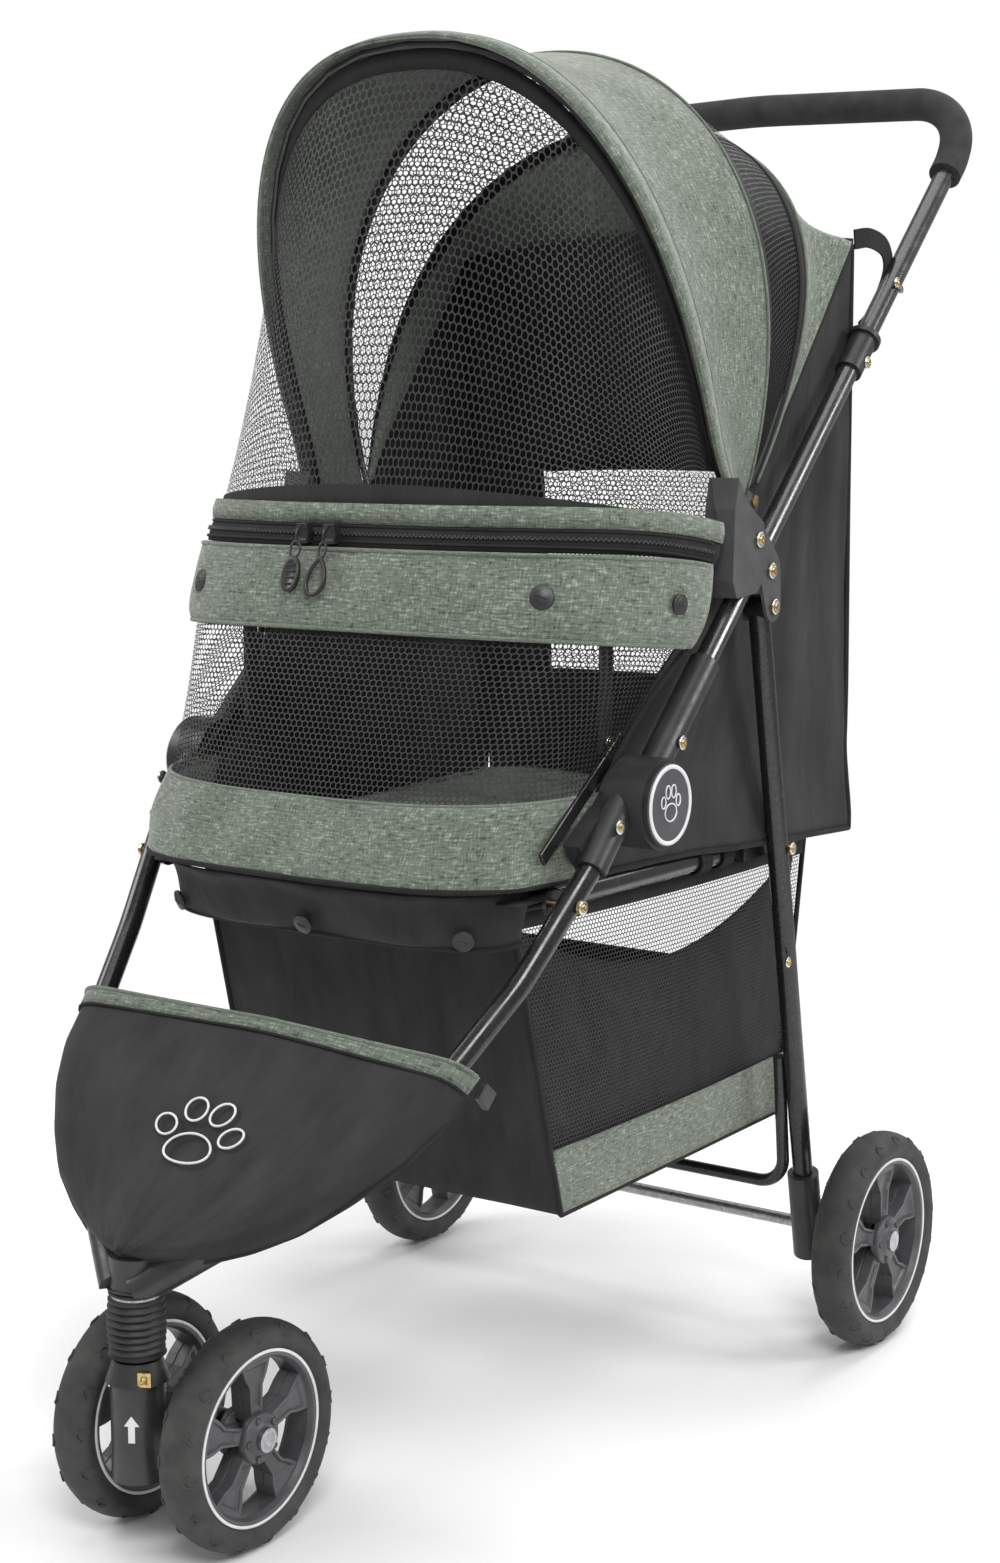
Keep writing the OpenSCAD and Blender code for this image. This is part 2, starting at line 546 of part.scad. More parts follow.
// ---- rear frame ----
leg_foot = [168, 208, 85];
leg_head = [frame_x, leg_p[0], leg_p[1]];
function leg_at(z) = leg_head + (leg_foot - leg_head) * (leg_p[1] - z) / (leg_p[1] - leg_foot.z);
function leg_x(z) = leg_at(z).x;
module rear_leg() difference() {
    union() {
        rod(leg_at(597), leg_at(94), tube_r);
        pin(frame_x - 8, frame_x + 8, leg_p, 9);
    }
    rod(leg_at(580), leg_at(60), bore_r);
    pin(frame_x - 20, frame_x + 20, leg_p, rivet_r + run);
    pin(170, 200, link_rear, rivet_r);
}
module rear_crossbar() color("#2e2e2e") {
    end = [leg_x(236) - tube_r - 5, leg_at(236).y, 236];
    low = [leg_x(150) - tube_r - 5.4, 186, 126];
    bent_rod([end, low, flip(low), flip(end)], [0, 24, 24, 0], 5);
}
pedal_p = [244, 92];
module rear_feet() color("#202020") pair() {
    difference() {
        union() {
            rod(leg_at(136), leg_at(64), 12.5);
            pin(155, 186, [rear_axle.y, rear_axle.z], 14);
            for (x = [156, 179]) plate(x, x + 7) polygon([[214, 97], [244, 99], [251, 94], [250, 86], [226, 74]]);
        }
        rod(leg_at(140), leg_at(94), tube_r);
        pin(150, 190, [rear_axle.y, rear_axle.z], axle_d / 2);
    }
    pin(157, 185, pedal_p, 2.5);
}
axle_end = rear_track / 2 + rear_wheel_w / 2 + 1.5;
module rear_axle() color("silver") union() {
    pin(-axle_end, axle_end, [rear_axle.y, rear_axle.z], axle_d / 2);
    pair() pin(axle_end - 2.5, axle_end, [rear_axle.y, rear_axle.z], 8);
}
// a foot pedal hinged behind each rear foot
module brake_pedal() difference() {
    union() {
        pin(163.4, 178.6, pedal_p, 6);
        plate(163.4, 178.6) polygon([[242, 97], [246, 87], [272, 96], [284, 104], [282, 108], [268, 103]]);
    }
    pin(150, 190, pedal_p, 2.5 + run);
}

color("dimgray") upper_tube();  // upper_tube_left
color("dimgray") mirror([1, 0, 0]) upper_tube();  // upper_tube_right
handle_tube();
handle_grip();
tube_collars();
color("silver") handle_button();  // handle_button_left
color("silver") mirror([1, 0, 0]) handle_button();  // handle_button_right
color("#202020") bracket();  // bracket_left
color("#202020") mirror([1, 0, 0]) bracket();  // bracket_right
frame_rivets();
color("#303030") fold_housing();  // fold_housing_left
color("#303030") mirror([1, 0, 0]) fold_housing();  // fold_housing_right
fold_caps();
front_rail();
front_flap();
flap_snaps();
zipper();
color("#303030") zip_pull(12 - slider_x);  // zip_pull_left
color("#303030") zip_pull(-12 - slider_x);  // zip_pull_right
cabin_sides();
cabin_front();
cabin_back();
canopy_back();
front_hoop();
canopy_front();
mesh_door();
middle_hoop();
canopy_mesh();
color("#2e2e2e") front_leg();  // front_leg_left
color("#2e2e2e") mirror([1, 0, 0]) front_leg();  // front_leg_right
color("#303030") leg_sleeve();  // leg_sleeve_left
color("#303030") mirror([1, 0, 0]) leg_sleeve();  // leg_sleeve_right
front_rivets();
front_crown();
apron();
side_tubes();
floor_board();
cabin_pad();
basket();
color("#2e2e2e") rear_leg();  // rear_leg_left
color("#2e2e2e") mirror([1, 0, 0]) rear_leg();  // rear_leg_right
rear_crossbar();
rear_feet();
rear_axle();
rear_rivets();
color("#303030") brake_pedal();  // brake_pedal_left
color("#303030") mirror([1, 0, 0]) brake_pedal();  // brake_pedal_right
swivel_stem();
caster_fork();
spring_boot();
fork_spring();
front_axle_pin();
color("#202020") front_tyre();  // front_tyre_left
color("#202020") mirror([1, 0, 0]) front_tyre();  // front_tyre_right
color("#3c3c3c") front_rim();  // front_rim_left
color("#3c3c3c") mirror([1, 0, 0]) front_rim();  // front_rim_right
color("#202020") rear_tyre();  // rear_tyre_left
color("#202020") mirror([1, 0, 0]) rear_tyre();  // rear_tyre_right
color("#3c3c3c") rear_rim();  // rear_rim_left
color("#3c3c3c") mirror([1, 0, 0]) rear_rim();  // rear_rim_right
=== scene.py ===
"""The looks of a folding pet stroller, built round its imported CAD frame. Lengths here are millimetres,
in the frame's own axes: +Z up, the front towards -Y, +X on the side nearest the camera."""

import json
import math

import bmesh
import bpy
import numpy as np
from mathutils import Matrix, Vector, noise

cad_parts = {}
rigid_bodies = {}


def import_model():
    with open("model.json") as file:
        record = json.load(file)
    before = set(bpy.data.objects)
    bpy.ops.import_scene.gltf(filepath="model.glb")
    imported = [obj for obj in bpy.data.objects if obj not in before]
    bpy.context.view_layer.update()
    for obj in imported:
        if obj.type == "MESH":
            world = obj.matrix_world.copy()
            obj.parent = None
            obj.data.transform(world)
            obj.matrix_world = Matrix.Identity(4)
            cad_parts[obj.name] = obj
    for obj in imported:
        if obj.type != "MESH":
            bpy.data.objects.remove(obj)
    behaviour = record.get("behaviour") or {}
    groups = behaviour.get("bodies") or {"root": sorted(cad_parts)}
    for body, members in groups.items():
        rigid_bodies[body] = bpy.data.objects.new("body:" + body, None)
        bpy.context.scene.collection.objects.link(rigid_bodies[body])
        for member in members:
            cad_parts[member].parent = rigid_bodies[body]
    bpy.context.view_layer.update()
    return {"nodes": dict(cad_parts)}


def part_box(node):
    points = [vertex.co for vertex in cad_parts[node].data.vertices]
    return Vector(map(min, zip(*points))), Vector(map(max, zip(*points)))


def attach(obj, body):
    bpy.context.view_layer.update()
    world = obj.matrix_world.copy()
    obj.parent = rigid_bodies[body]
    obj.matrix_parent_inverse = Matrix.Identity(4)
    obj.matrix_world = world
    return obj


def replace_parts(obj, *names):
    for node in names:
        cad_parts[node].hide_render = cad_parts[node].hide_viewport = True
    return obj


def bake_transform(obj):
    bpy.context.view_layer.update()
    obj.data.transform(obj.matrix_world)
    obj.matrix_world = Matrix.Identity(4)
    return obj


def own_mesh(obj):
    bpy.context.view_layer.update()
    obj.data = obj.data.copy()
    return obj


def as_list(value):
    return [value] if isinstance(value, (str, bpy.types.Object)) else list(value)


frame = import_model()
MM = 0.001

# ---------------------------------------------------------------- driving dimensions, as in the frame
CLOTH = 1.6  # thickness of the sewn fabric
LEAST_SHARE = 0.31  # a sheet's area is at least this share of its length times its width
TUBE_LEAN = math.radians(43.8)
TUBE_START = (-94, 483)  # (y, z) where the upper tubes' centre line meets the fold joint
# the hoops: (y, z) of their feet, their tilts in degrees and their heights
HOOP_BASE = (33, 670)
HOOP_TILT = 22.5
HOOP_H = 342
MIDDLE_BASE = (74, 672)
MIDDLE_H = 322
BACK_BASE = (78, 670)
BACK_TILT = -25.8
BACK_H = 314
BASKET_X = 145
BASKET_Z = 176
STEM_Y = -395
PULLS = (-21, -45)  # the zip pulls' places across the zip
PULL_AXIS = (-167.2, 645)  # (y, z) of the pins they hang from
SPOKES = 5
# the wheels' centres, diameters and widths, their rims' and hubs' diameters, and the marks round their treads
WHEELS = {
    "front": {"centre": (46, -342, 76), "d": 152, "w": 31, "rim_d": 118, "hub_d": 34, "marks": 16},
    "rear": {"centre": (221, 220, 85), "d": 170, "w": 33, "rim_d": 132, "hub_d": 38, "marks": 18},
}
SIDES = {"left": 1, "right": -1}


# ---------------------------------------------------------------- materials
class Nodes:
    """A material's node tree, with short ways to add what the finishes below share."""

    def __init__(self, name, rough, metal=0.0, sheen=0.0, coat=0.0, colour=(0.5, 0.5, 0.5)):
        self.material = bpy.data.materials.new(name)
        self.material.use_nodes = True
        self.tree = self.material.node_tree
        self.shader = self.tree.nodes["Principled BSDF"]
        self.set("Roughness", rough)
        self.set("Metallic", metal)
        self.set("Sheen Weight", sheen)
        self.set("Coat Weight", coat)
        self.set("Base Color", (*colour, 1))

    def set(self, socket, value):
        self.shader.inputs[socket].default_value = value

    def new(self, kind, **values):
        """A new node with some of its inputs set."""
        node = self.tree.nodes.new(f"ShaderNode{kind}")
        for socket, value in values.items():
            node.inputs[socket].default_value = value
        return node

    def coords(self, kind, stretch):
        mapping = self.new("Mapping", Scale=stretch)
        self.tree.links.new(self.new("TexCoord").outputs[kind], mapping.inputs["Vector"])
        return mapping.outputs["Vector"]

    def noise(self, kind, stretch, detail=3.0, rough=0.6):
        """Noise in Object or UV coordinates, with stretch cells to the metre, one number or one an axis."""
        texture = self.new("TexNoise", Scale=1.0, Detail=detail, Roughness=rough)
        stretch = stretch if isinstance(stretch, tuple) else (stretch,) * 3
        self.tree.links.new(self.coords(kind, stretch), texture.inputs["Vector"])
        return texture.outputs["Fac"]

    def wave(self, kind, stretch, axis):
        texture = self.new("TexWave", Scale=1.0, Distortion=0.6)
        texture.bands_direction = axis
        self.tree.links.new(self.coords(kind, stretch), texture.inputs["Vector"])
        return texture.outputs["Fac"]

    def math(self, operation, a, b):
        node = self.new("Math")
        node.operation = operation
        for socket, value in zip(node.inputs, (a, b)):
            if isinstance(value, (int, float)):
                socket.default_value = value
            else:
                self.tree.links.new(value, socket)
        return node.outputs[0]

    def ramp(self, fac, *stops):
        """Colours, or greys given as one number, spread over a factor."""
        node = self.new("ValToRGB")
        while len(node.color_ramp.elements) < len(stops):
            node.color_ramp.elements.new(0.5)
        for element, (at, colour) in zip(node.color_ramp.elements, stops):
            element.position = at
            element.color = (*colour, 1) if isinstance(colour, tuple) else (colour, colour, colour, 1)
        self.tree.links.new(fac, node.inputs["Fac"])
        return node.outputs["Color"]

    def colour(self, source):
        self.tree.links.new(source, self.shader.inputs["Base Color"])

    def roughness(self, source):
        self.tree.links.new(source, self.shader.inputs["Roughness"])

    def bump(self, height, strength, distance):
        """Adds a bump, with its distance in metres, on top of any that is there."""
        node = self.new("Bump", Strength=strength, Distance=distance)
        self.tree.links.new(height, node.inputs["Height"])
        before = self.shader.inputs["Normal"].links
        if before:
            self.tree.links.new(before[0].from_socket, node.inputs["Normal"])
        self.tree.links.new(node.outputs["Normal"], self.shader.inputs["Normal"])


def heather(name, kind, dark, mid, pale):
    """Woven melange: short slubs along the warp and the weft, over a slow drift of tone that is partly random
    and partly painted crease shade.
    """
    n = Nodes(name, rough=0.9, sheen=0.25)
    weft = n.noise(kind, (120, 640, 120), 5)
    warp = n.noise(kind, (720, 150, 720), 5)
    # the slow drift is partly painted shade: broad darker and paler patches that stand in for shade along
    # creases
    drift = n.noise(kind, 22, 2)
    mixed = n.math("ADD", n.math("MULTIPLY", weft, 0.5), n.math("MULTIPLY", warp, 0.38))
    mixed = n.math("ADD", mixed, n.math("MULTIPLY", drift, 0.12))
    n.colour(n.ramp(mixed, (0.40, dark), (0.475, mid), (0.525, mid), (0.60, pale)))
    n.bump(mixed, 0.35, 0.0006)
    n.bump(n.noise(kind, 60, 2), 0.25, 0.002)
    return n.material


def woven(name, kind, dark, pale, rough=0.75, sheen=0.04):
    """Plain black bag cloth: a fine weave with soft creases and a painted sheen, the colour paler on their
    tops.
    """
    n = Nodes(name, rough=rough, sheen=sheen)
    n.set("Specular IOR Level", 0.3)
    weave = n.math("ADD", n.wave(kind, (2600, 0, 0), "X"), n.wave(kind, (0, 2600, 0), "Y"))
    creases = n.noise(kind, (34, 12, 34), 4)
    # painted sheen: the colour turns paler where the crease bump rises
    n.colour(n.ramp(creases, (0.3, dark), (0.7, pale)))
    n.bump(weave, 0.15, 0.0002)
    n.bump(creases, 0.45, 0.004)
    return n.material


def plastic(name, dark, pale, rough=0.45, grain=900):
    """Moulded plastic with a fine grain and an uneven gloss."""
    n = Nodes(name, rough=rough)
    speck = n.noise("Object", grain, 3)
    n.colour(n.ramp(n.noise("Object", 45, 3), (0.3, dark), (0.7, pale)))
    n.roughness(n.ramp(n.noise("Object", 160, 3), (0.3, rough - 0.07), (0.7, rough + 0.09)))
    n.bump(speck, 0.12, 0.0003)
    return n.material


def coated_tube(name, dark, pale, metal=0.75, rough=0.3):
    """Satin metallic powder coat, with a fine flake and faint scuffs."""
    n = Nodes(name, rough=rough, metal=metal, coat=0.25)
    n.colour(n.ramp(n.noise("Object", 500, 2), (0.35, dark), (0.65, pale)))
    n.roughness(n.ramp(n.noise("Object", 70, 4), (0.35, rough - 0.06), (0.7, rough + 0.1)))
    n.bump(n.noise("Object", 1500, 2), 0.03, 0.0001)
    return n.material


def metal(name, dark, pale, rough=0.3):
    """Bare or plated metal, brushed along X."""
    n = Nodes(name, rough=rough, metal=1.0)
    n.colour(n.ramp(n.noise("Object", 300, 3), (0.3, dark), (0.7, pale)))
    n.roughness(n.ramp(n.noise("Object", (400, 60, 60), 3), (0.3, rough - 0.08), (0.7, rough + 0.12)))
    return n.material


def foam(name, dark, pale, rough=0.85, cell=700):
    """Closed-cell foam or rubber, with cell pores to the metre."""
    n = Nodes(name, rough=rough)
    pores = n.noise("Object", cell, 4)
    n.colour(n.ramp(n.noise("Object", 60, 3), (0.3, dark), (0.7, pale)))
    n.bump(pores, 0.3, 0.0006)
    return n.material


SAGE = ((0.034, 0.044, 0.033), (0.125, 0.148, 0.116), (0.30, 0.335, 0.28))
MATERIAL = {
    "sage": heather("sage_heather", "UV", *SAGE),
    "sage_pad": heather("sage_heather_pad", "Object", *SAGE),
    "black_cloth": woven("black_bag_cloth", "UV", (0.012, 0.012, 0.013), (0.032, 0.032, 0.033)),
    "trim": woven("black_binding", "UV", (0.010, 0.010, 0.011), (0.020, 0.020, 0.021), 0.85, 0.02),
    "net": foam("black_net_yarn", (0.010, 0.010, 0.011), (0.022, 0.022, 0.023), 0.6),
    "tube": coated_tube("gunmetal_tube", (0.085, 0.085, 0.088), (0.12, 0.12, 0.124), 0.85, 0.24),
    "dark_tube": coated_tube("black_tube", (0.03, 0.03, 0.031), (0.05, 0.05, 0.052), 0.75, 0.25),
    "wire": coated_tube("black_wire", (0.02, 0.02, 0.02), (0.04, 0.04, 0.04), 0.3, 0.45),
    "plastic": plastic("satin_black_plastic", (0.016, 0.016, 0.017), (0.03, 0.03, 0.031), 0.38),
    "bracket": plastic("grey_black_plastic", (0.045, 0.046, 0.048), (0.075, 0.076, 0.078), 0.5, 1500),
    "rim": plastic("satin_grey_plastic", (0.05, 0.05, 0.054), (0.085, 0.085, 0.09), 0.4),
    "white": plastic("white_print", (0.62, 0.63, 0.64), (0.78, 0.78, 0.79), 0.5),
    "grip": foam("grip_foam", (0.016, 0.016, 0.016), (0.034, 0.034, 0.033), 0.88),
    "tyre": foam("eva_tyre", (0.022, 0.022, 0.022), (0.048, 0.047, 0.045), 0.72, 500),
    "rubber": foam("boot_rubber", (0.012, 0.012, 0.012), (0.026, 0.026, 0.025), 0.55, 500),
    "brass": metal("brass", (0.36, 0.25, 0.10), (0.62, 0.47, 0.22), 0.25),
    "silver": metal("nickel", (0.55, 0.55, 0.53), (0.78, 0.77, 0.74), 0.22),
    "steel": metal("zinc_steel", (0.30, 0.30, 0.31), (0.55, 0.55, 0.56), 0.35),
    "board": woven("floor_board_cloth", "Object", (0.016, 0.016, 0.017), (0.04, 0.04, 0.042)),
}

# the record's material slot of each finish; a finish with none is paint or print
SLOT = {
    "sage": "sage_fabric", "sage_pad": "sage_pad", "black_cloth": "black_fabric", "trim": "black_fabric",
    "net": "black_mesh", "plastic": "black_plastic", "rim": "rim_plastic", "tyre": "eva_tyre",
    "rubber": "rubber_boot", "brass": "brass_rivet", "silver": "zinc_steel", "dark_tube": "hoop_wire",
}



def pair(name):
    return [f"{name}_left", f"{name}_right"]


CAD_FINISH = {
    "tube": [*pair("upper_tube"), "handle_tube"],
    "dark_tube": [*pair("front_leg"), *pair("rear_leg"), "side_tubes", "rear_crossbar"],
    "wire": ["front_hoop", "middle_hoop", "front_rail"],
    "grip": ["handle_grip"],
    "plastic": ["tube_collars", *pair("fold_housing"), *pair("leg_sleeve"), "front_crown", "rear_feet",
                "caster_fork", "fold_caps", *pair("brake_pedal")],
    "bracket": pair("bracket"),
    "rubber": ["spring_boot"],
    "brass": ["frame_rivets", "front_rivets", "rear_rivets"],
    "steel": ["rear_axle", "front_axle_pin", "swivel_stem", "fork_spring", *pair("handle_button")],
    "board": ["floor_board"],
}
for finish, names in CAD_FINISH.items():
    for name in names:
        node = frame["nodes"][name]
        node.data.materials.clear()
        node.data.materials.append(MATERIAL[finish])


# ---------------------------------------------------------------- mesh helpers
def add(name, verts, faces, finish, body, uvs=None, smooth=True, slot=None):
    """A mesh piece from points in millimetres, riding on a body. The slot argument is not used."""
    mesh = bpy.data.meshes.new(name)
    mesh.from_pydata([tuple(p) for p in np.asarray(verts, float) * MM], [], faces)
    mesh.validate()
    if uvs is not None:
        layer = mesh.uv_layers.new(name="cut")
        for loop in mesh.loops:
            layer.data[loop.index].uv = uvs[loop.vertex_index]
    for polygon in mesh.polygons:
        polygon.use_smooth = smooth
    mesh.materials.append(MATERIAL[finish])
    piece = bpy.data.objects.new(name, mesh)
    bpy.context.scene.collection.objects.link(piece)
    if body:
        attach(piece, body)
    slot = slot or SLOT.get(finish)
    return piece


def ring_faces(rows, sides, closed=False):
    """Quads between rows of sides points; the end rows are capped, or joined to each other if closed."""
    pairs = [(i, (i + 1) % rows) for i in range(rows if closed else rows - 1)]
    faces = [(i * sides + k, i * sides + (k + 1) % sides, j * sides + (k + 1) % sides, j * sides + k)
             for i, j in pairs for k in range(sides)]
    if not closed:
        faces += [tuple(range(sides))[::-1], tuple(range((rows - 1) * sides, rows * sides))]
    return faces


def shares(count):
    return np.linspace(0, 1, count)


def round_angles(sides):
    return np.linspace(0, 2 * math.pi, sides, endpoint=False)


def closed_turn(count):
    return np.linspace(0, 2 * math.pi, count)


def unit(v):
    return v / max(1e-9, np.linalg.norm(v))


def resample(points, count):
    """The same line with count points, spaced evenly."""
    points = np.asarray(points, float)
    steps = np.linalg.norm(np.diff(points, axis=0), axis=1)
    along = np.concatenate([[0], np.cumsum(steps)])
    at = np.linspace(0, along[-1], count)
    return np.stack([np.interp(at, along, points[:, k]) for k in range(3)], axis=1)


def smooth_line(points, count):
    """An even Catmull-Rom curve through the points."""
    points = np.asarray(points, float)
    ends = np.vstack([2 * points[0] - points[1], points, 2 * points[-1] - points[-2]])
    found = []
    for i in range(1, len(ends) - 2):
        a, b, c, d = ends[i - 1 : i + 3]
        for t in np.linspace(0, 1, 16, endpoint=False):
            found.append(0.5 * (2 * b + (c - a) * t + (2 * a - 5 * b + 4 * c - d) * t**2
                                + (3 * b - a - 3 * c + d) * t**3))
    found.append(points[-1])
    return resample(found, count)


class Surface:
    """A sheet lofted through rows of points. s runs from the first row to the last, t along a row."""

    def __init__(self, rows, across=24, along=120, curved=True):
        rows = [resample(row, along) for row in rows]
        columns = []
        for j in range(along):
            column = [row[j] for row in rows]
            columns.append(smooth_line(column, across) if curved else resample(column, across))
        self.grid = np.stack(columns, axis=1)
        self.length = float(np.linalg.norm(np.diff(self.grid[across // 2], axis=0), axis=1).sum())
        down = np.linalg.norm(np.diff(self.grid, axis=0), axis=2).sum(axis=0)
        self.depth = float(down.mean())

    def at(self, s, t):
        s, t = np.broadcast_arrays(np.asarray(s, float), np.asarray(t, float))
        rows, columns = self.grid.shape[:2]
        i = np.clip(s, 0, 1) * (rows - 1)
        j = np.clip(t, 0, 1) * (columns - 1)
        i0 = np.minimum(i.astype(int), rows - 2)
        j0 = np.minimum(j.astype(int), columns - 2)
        fi, fj = (i - i0)[..., None], (j - j0)[..., None]
        g = self.grid
        return ((g[i0, j0] * (1 - fi) + g[i0 + 1, j0] * fi) * (1 - fj)
                + (g[i0, j0 + 1] * (1 - fi) + g[i0 + 1, j0 + 1] * fi) * fj)

    def normal(self, s, t):
        step = 0.01
        ds = self.at(np.clip(s + step, 0, 1), t) - self.at(np.clip(s - step, 0, 1), t)
        dt = self.at(s, np.clip(t + step, 0, 1)) - self.at(s, np.clip(t - step, 0, 1))
        n = np.cross(ds, dt)
        return n / np.maximum(1e-9, np.linalg.norm(n, axis=-1, keepdims=True))

    def over(self, s, t, height):
        return self.at(s, t) + self.normal(s, t) * height


def ripple(points, wavelength, height, seed):
    """Soft folds: smooth noise read at each point."""
    offset = Vector((seed * 7.3, seed * 3.1, seed * 5.7))
    return np.array([noise.noise(Vector(p) / wavelength + offset) * height for p in points.reshape(-1, 3)]
                    ).reshape(points.shape[:-1])


def patch(name, surface, finish, body, s=(0, 1), t=(0, 1), lift=0.0, thick=CLOTH, step=6, shape=None,
          folds=None, outward=1, sheet=None, slot=None):
    """A piece of cloth cut from a surface. shape(s, t) gives its height over the surface, and outward is -1
    where the surface's normal points into the stroller."""
    ns = max(3, int(surface.depth * abs(s[1] - s[0]) / step) + 1)
    nt = max(3, int(surface.length * abs(t[1] - t[0]) / step) + 1)
    ss, tt = np.meshgrid(np.linspace(*s, ns), np.linspace(*t, nt), indexing="ij")
    points = surface.at(ss, tt)
    height = np.full(ss.shape, float(lift))
    if shape:
        height = height + shape(ss, tt)
    if folds:
        edge = np.minimum(1, np.minimum(ss - s[0], s[1] - ss) / (0.12 * (s[1] - s[0])))
        height = height + ripple(points, *folds) * edge
    points = points + surface.normal(ss, tt) * (height * outward)[..., None]
    uv = np.stack([tt * surface.length * MM, ss * surface.depth * MM], axis=-1).reshape(-1, 2)
    faces = [(i * nt + j, i * nt + j + 1, (i + 1) * nt + j + 1, (i + 1) * nt + j)
             for i in range(ns - 1) for j in range(nt - 1)]
    piece = add(name, points.reshape(-1, 3), faces, finish, body, uv, slot=slot)
    solid = piece.modifiers.new("cloth", "SOLIDIFY")
    solid.thickness = thick * MM
    solid.offset = 0
    if sheet:
        declare(points, sheet)
    return piece


def area_of(points):
    """The area in square metres of a grid of points in millimetres."""
    a, b, c = points[:-1, :-1], points[:-1, 1:], points[1:, :-1]
    d = points[1:, 1:]
    one = np.linalg.norm(np.cross(b - a, c - a), axis=-1) / 2
    two = np.linalg.norm(np.cross(b - d, c - d), axis=-1) / 2
    return float((one + two).sum()) * MM * MM


def say_sheet(flat, area, held):
    whole = flat[0] * flat[1]
    area = min(max(area, LEAST_SHARE * whole), whole)
    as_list(held[1])


def declare(points, held):
    """Works out the cloth's flat size, its longest row by its longest column, and its area; nothing is kept.
    """
    wide = np.linalg.norm(np.diff(points, axis=1), axis=2).sum(axis=1).max() * MM
    long = np.linalg.norm(np.diff(points, axis=0), axis=2).sum(axis=0).max() * MM
    say_sheet((wide, long), area_of(points), held)


def net(name, surface, body, s=(0, 1), t=(0, 1), cell=4.6, yarn=0.2, held=None):
    """Hexagonal mesh cloth as real strands: each cell is a ring of six flat yarns, yarn its share of it."""
    width = surface.length * abs(t[1] - t[0])
    depth = surface.depth * abs(s[1] - s[0])
    radius = cell / math.sqrt(3)
    us = np.arange(cell / 2, width - cell / 2, cell)
    vs = np.arange(radius, depth - radius, radius * 1.5)
    uu, vv = np.meshgrid(us, vs)
    uu = uu + (np.arange(len(vs)) % 2)[:, None] * cell / 2
    centres = np.stack([uu.ravel(), vv.ravel()], axis=1)
    turn = np.radians(30 + 60 * np.arange(6))
    corner = np.stack([np.cos(turn), np.sin(turn)], axis=1) * radius
    rings = np.concatenate([centres[:, None] + corner, centres[:, None] + corner * (1 - yarn)], axis=1)
    tt = t[0] + (t[1] - t[0]) * np.clip(rings[..., 0] / width, 0, 1)
    ss = s[0] + (s[1] - s[0]) * np.clip(rings[..., 1] / depth, 0, 1)
    points = surface.at(ss, tt)
    first = np.arange(len(points))[:, None] * 12
    k = np.arange(6)
    quads = np.stack([first + k, first + (k + 1) % 6, first + 6 + (k + 1) % 6, first + 6 + k], axis=-1)
    piece = add(name, points.reshape(-1, 3), quads.reshape(-1, 4).tolist(), "net", body)
    say_sheet((width * MM, depth * MM), sum(p.area for p in piece.data.polygons), held)
    return piece


def tube(name, points, radius, finish, body, count, sides=8, flat=None, slot=None):
    """A round or flat cord, wire or strap in count steps. flat = (width, thickness, width's direction)."""
    line = smooth_line(points, count)
    along = np.gradient(line, axis=0)
    along = along / np.linalg.norm(along, axis=1, keepdims=True)
    side = unit(np.cross(along[0], [0, 0, 1] if abs(along[0][2]) < 0.9 else [1, 0, 0]))
    rings = []
    for p, u in zip(line, along):
        if flat:
            side = unit(np.asarray(flat[2], float) - u * np.dot(flat[2], u))
        else:
            side = unit(side - u * np.dot(side, u))
        up = np.cross(u, side)
        if flat:
            w, h = flat[0] / 2, flat[1] / 2
            ring = [(w, h), (-w, h), (-w, -h), (w, -h)]
        else:
            ring = [(radius * math.cos(a), radius * math.sin(a)) for a in round_angles(sides)]
        rings.append([p + side * a + up * b for a, b in ring])
    n = len(rings[0])
    verts = np.array(rings).reshape(-1, 3)
    spread = np.linspace(0, np.linalg.norm(np.diff(line, axis=0), axis=1).sum() * MM, len(rings))
    uv = [(spread[i // n], (i % n) * 0.004) for i in range(len(verts))]
    piece = add(name, verts, ring_faces(len(rings), n), finish, body, uv, smooth=not flat, slot=slot)
    if flat:
        soften(piece, 0.3)
    return piece


def soften(piece, width, segments=2):
    """Rounds the sharp edges."""
    bevel = piece.modifiers.new("edges", "BEVEL")
    bevel.width = width * MM
    bevel.segments = segments
    bevel.limit_method = "ANGLE"
    return piece


# ---------------------------------------------------------------- outlines shared with the frame
def bow(half, back, front, z, n, drop=0.0, steps=200):
    """The plan of the cabin's front at height z, from its left back end round to the right one."""
    found = []
    for t in np.linspace(0, math.pi, steps + 1):
        c, s = math.cos(t), math.sin(t)
        x = half * math.copysign(abs(c) ** (2 / n), c)
        y = back - (back - front) * max(0, s) ** (2 / n)
        found.append((x, y, z - drop * ((y - front) / (back - front)) ** 2))
    return found


def arch(foot, half, h0, h, n, steps=160):
    """A hoop's outline: straight-sided below h0, then a rounded arch up to h."""
    low = [(half - (half - foot) * k * k, h0 * (1 - k)) for k in np.linspace(1, 0, 12, endpoint=False)]
    top = []
    for t in np.linspace(0, math.pi, steps):
        c, s = math.cos(t), math.sin(t)
        top.append((half * math.copysign(abs(c) ** (2 / n), c), h0 + (h - h0) * max(0, s) ** (2 / n)))
    return low + top + [(-x, z) for x, z in reversed(low)]


def stood(outline, base, tilt):
    """An (x, height) outline stood up on base, leaning back by tilt degrees."""
    tilt = math.radians(tilt)
    return np.array([(x, base[0] - h * math.sin(tilt), base[1] + h * math.cos(tilt)) for x, h in outline])


def front_arch(out=0.0, ahead=0.0):
    """The front hoop's line, grown by out and moved ahead of its own plane."""
    line = stood(arch(186 + out, 181 + out, 60, HOOP_H + out, 2.4), HOOP_BASE, HOOP_TILT)
    tilt = math.radians(HOOP_TILT)
    return line - np.array([0, math.cos(tilt), math.sin(tilt)]) * ahead


def middle_arch(out=0.0):
    """The middle hoop's line."""
    return stood(arch(168 + out, 187 + out, 115, MIDDLE_H + out, 2.1), MIDDLE_BASE, 0)


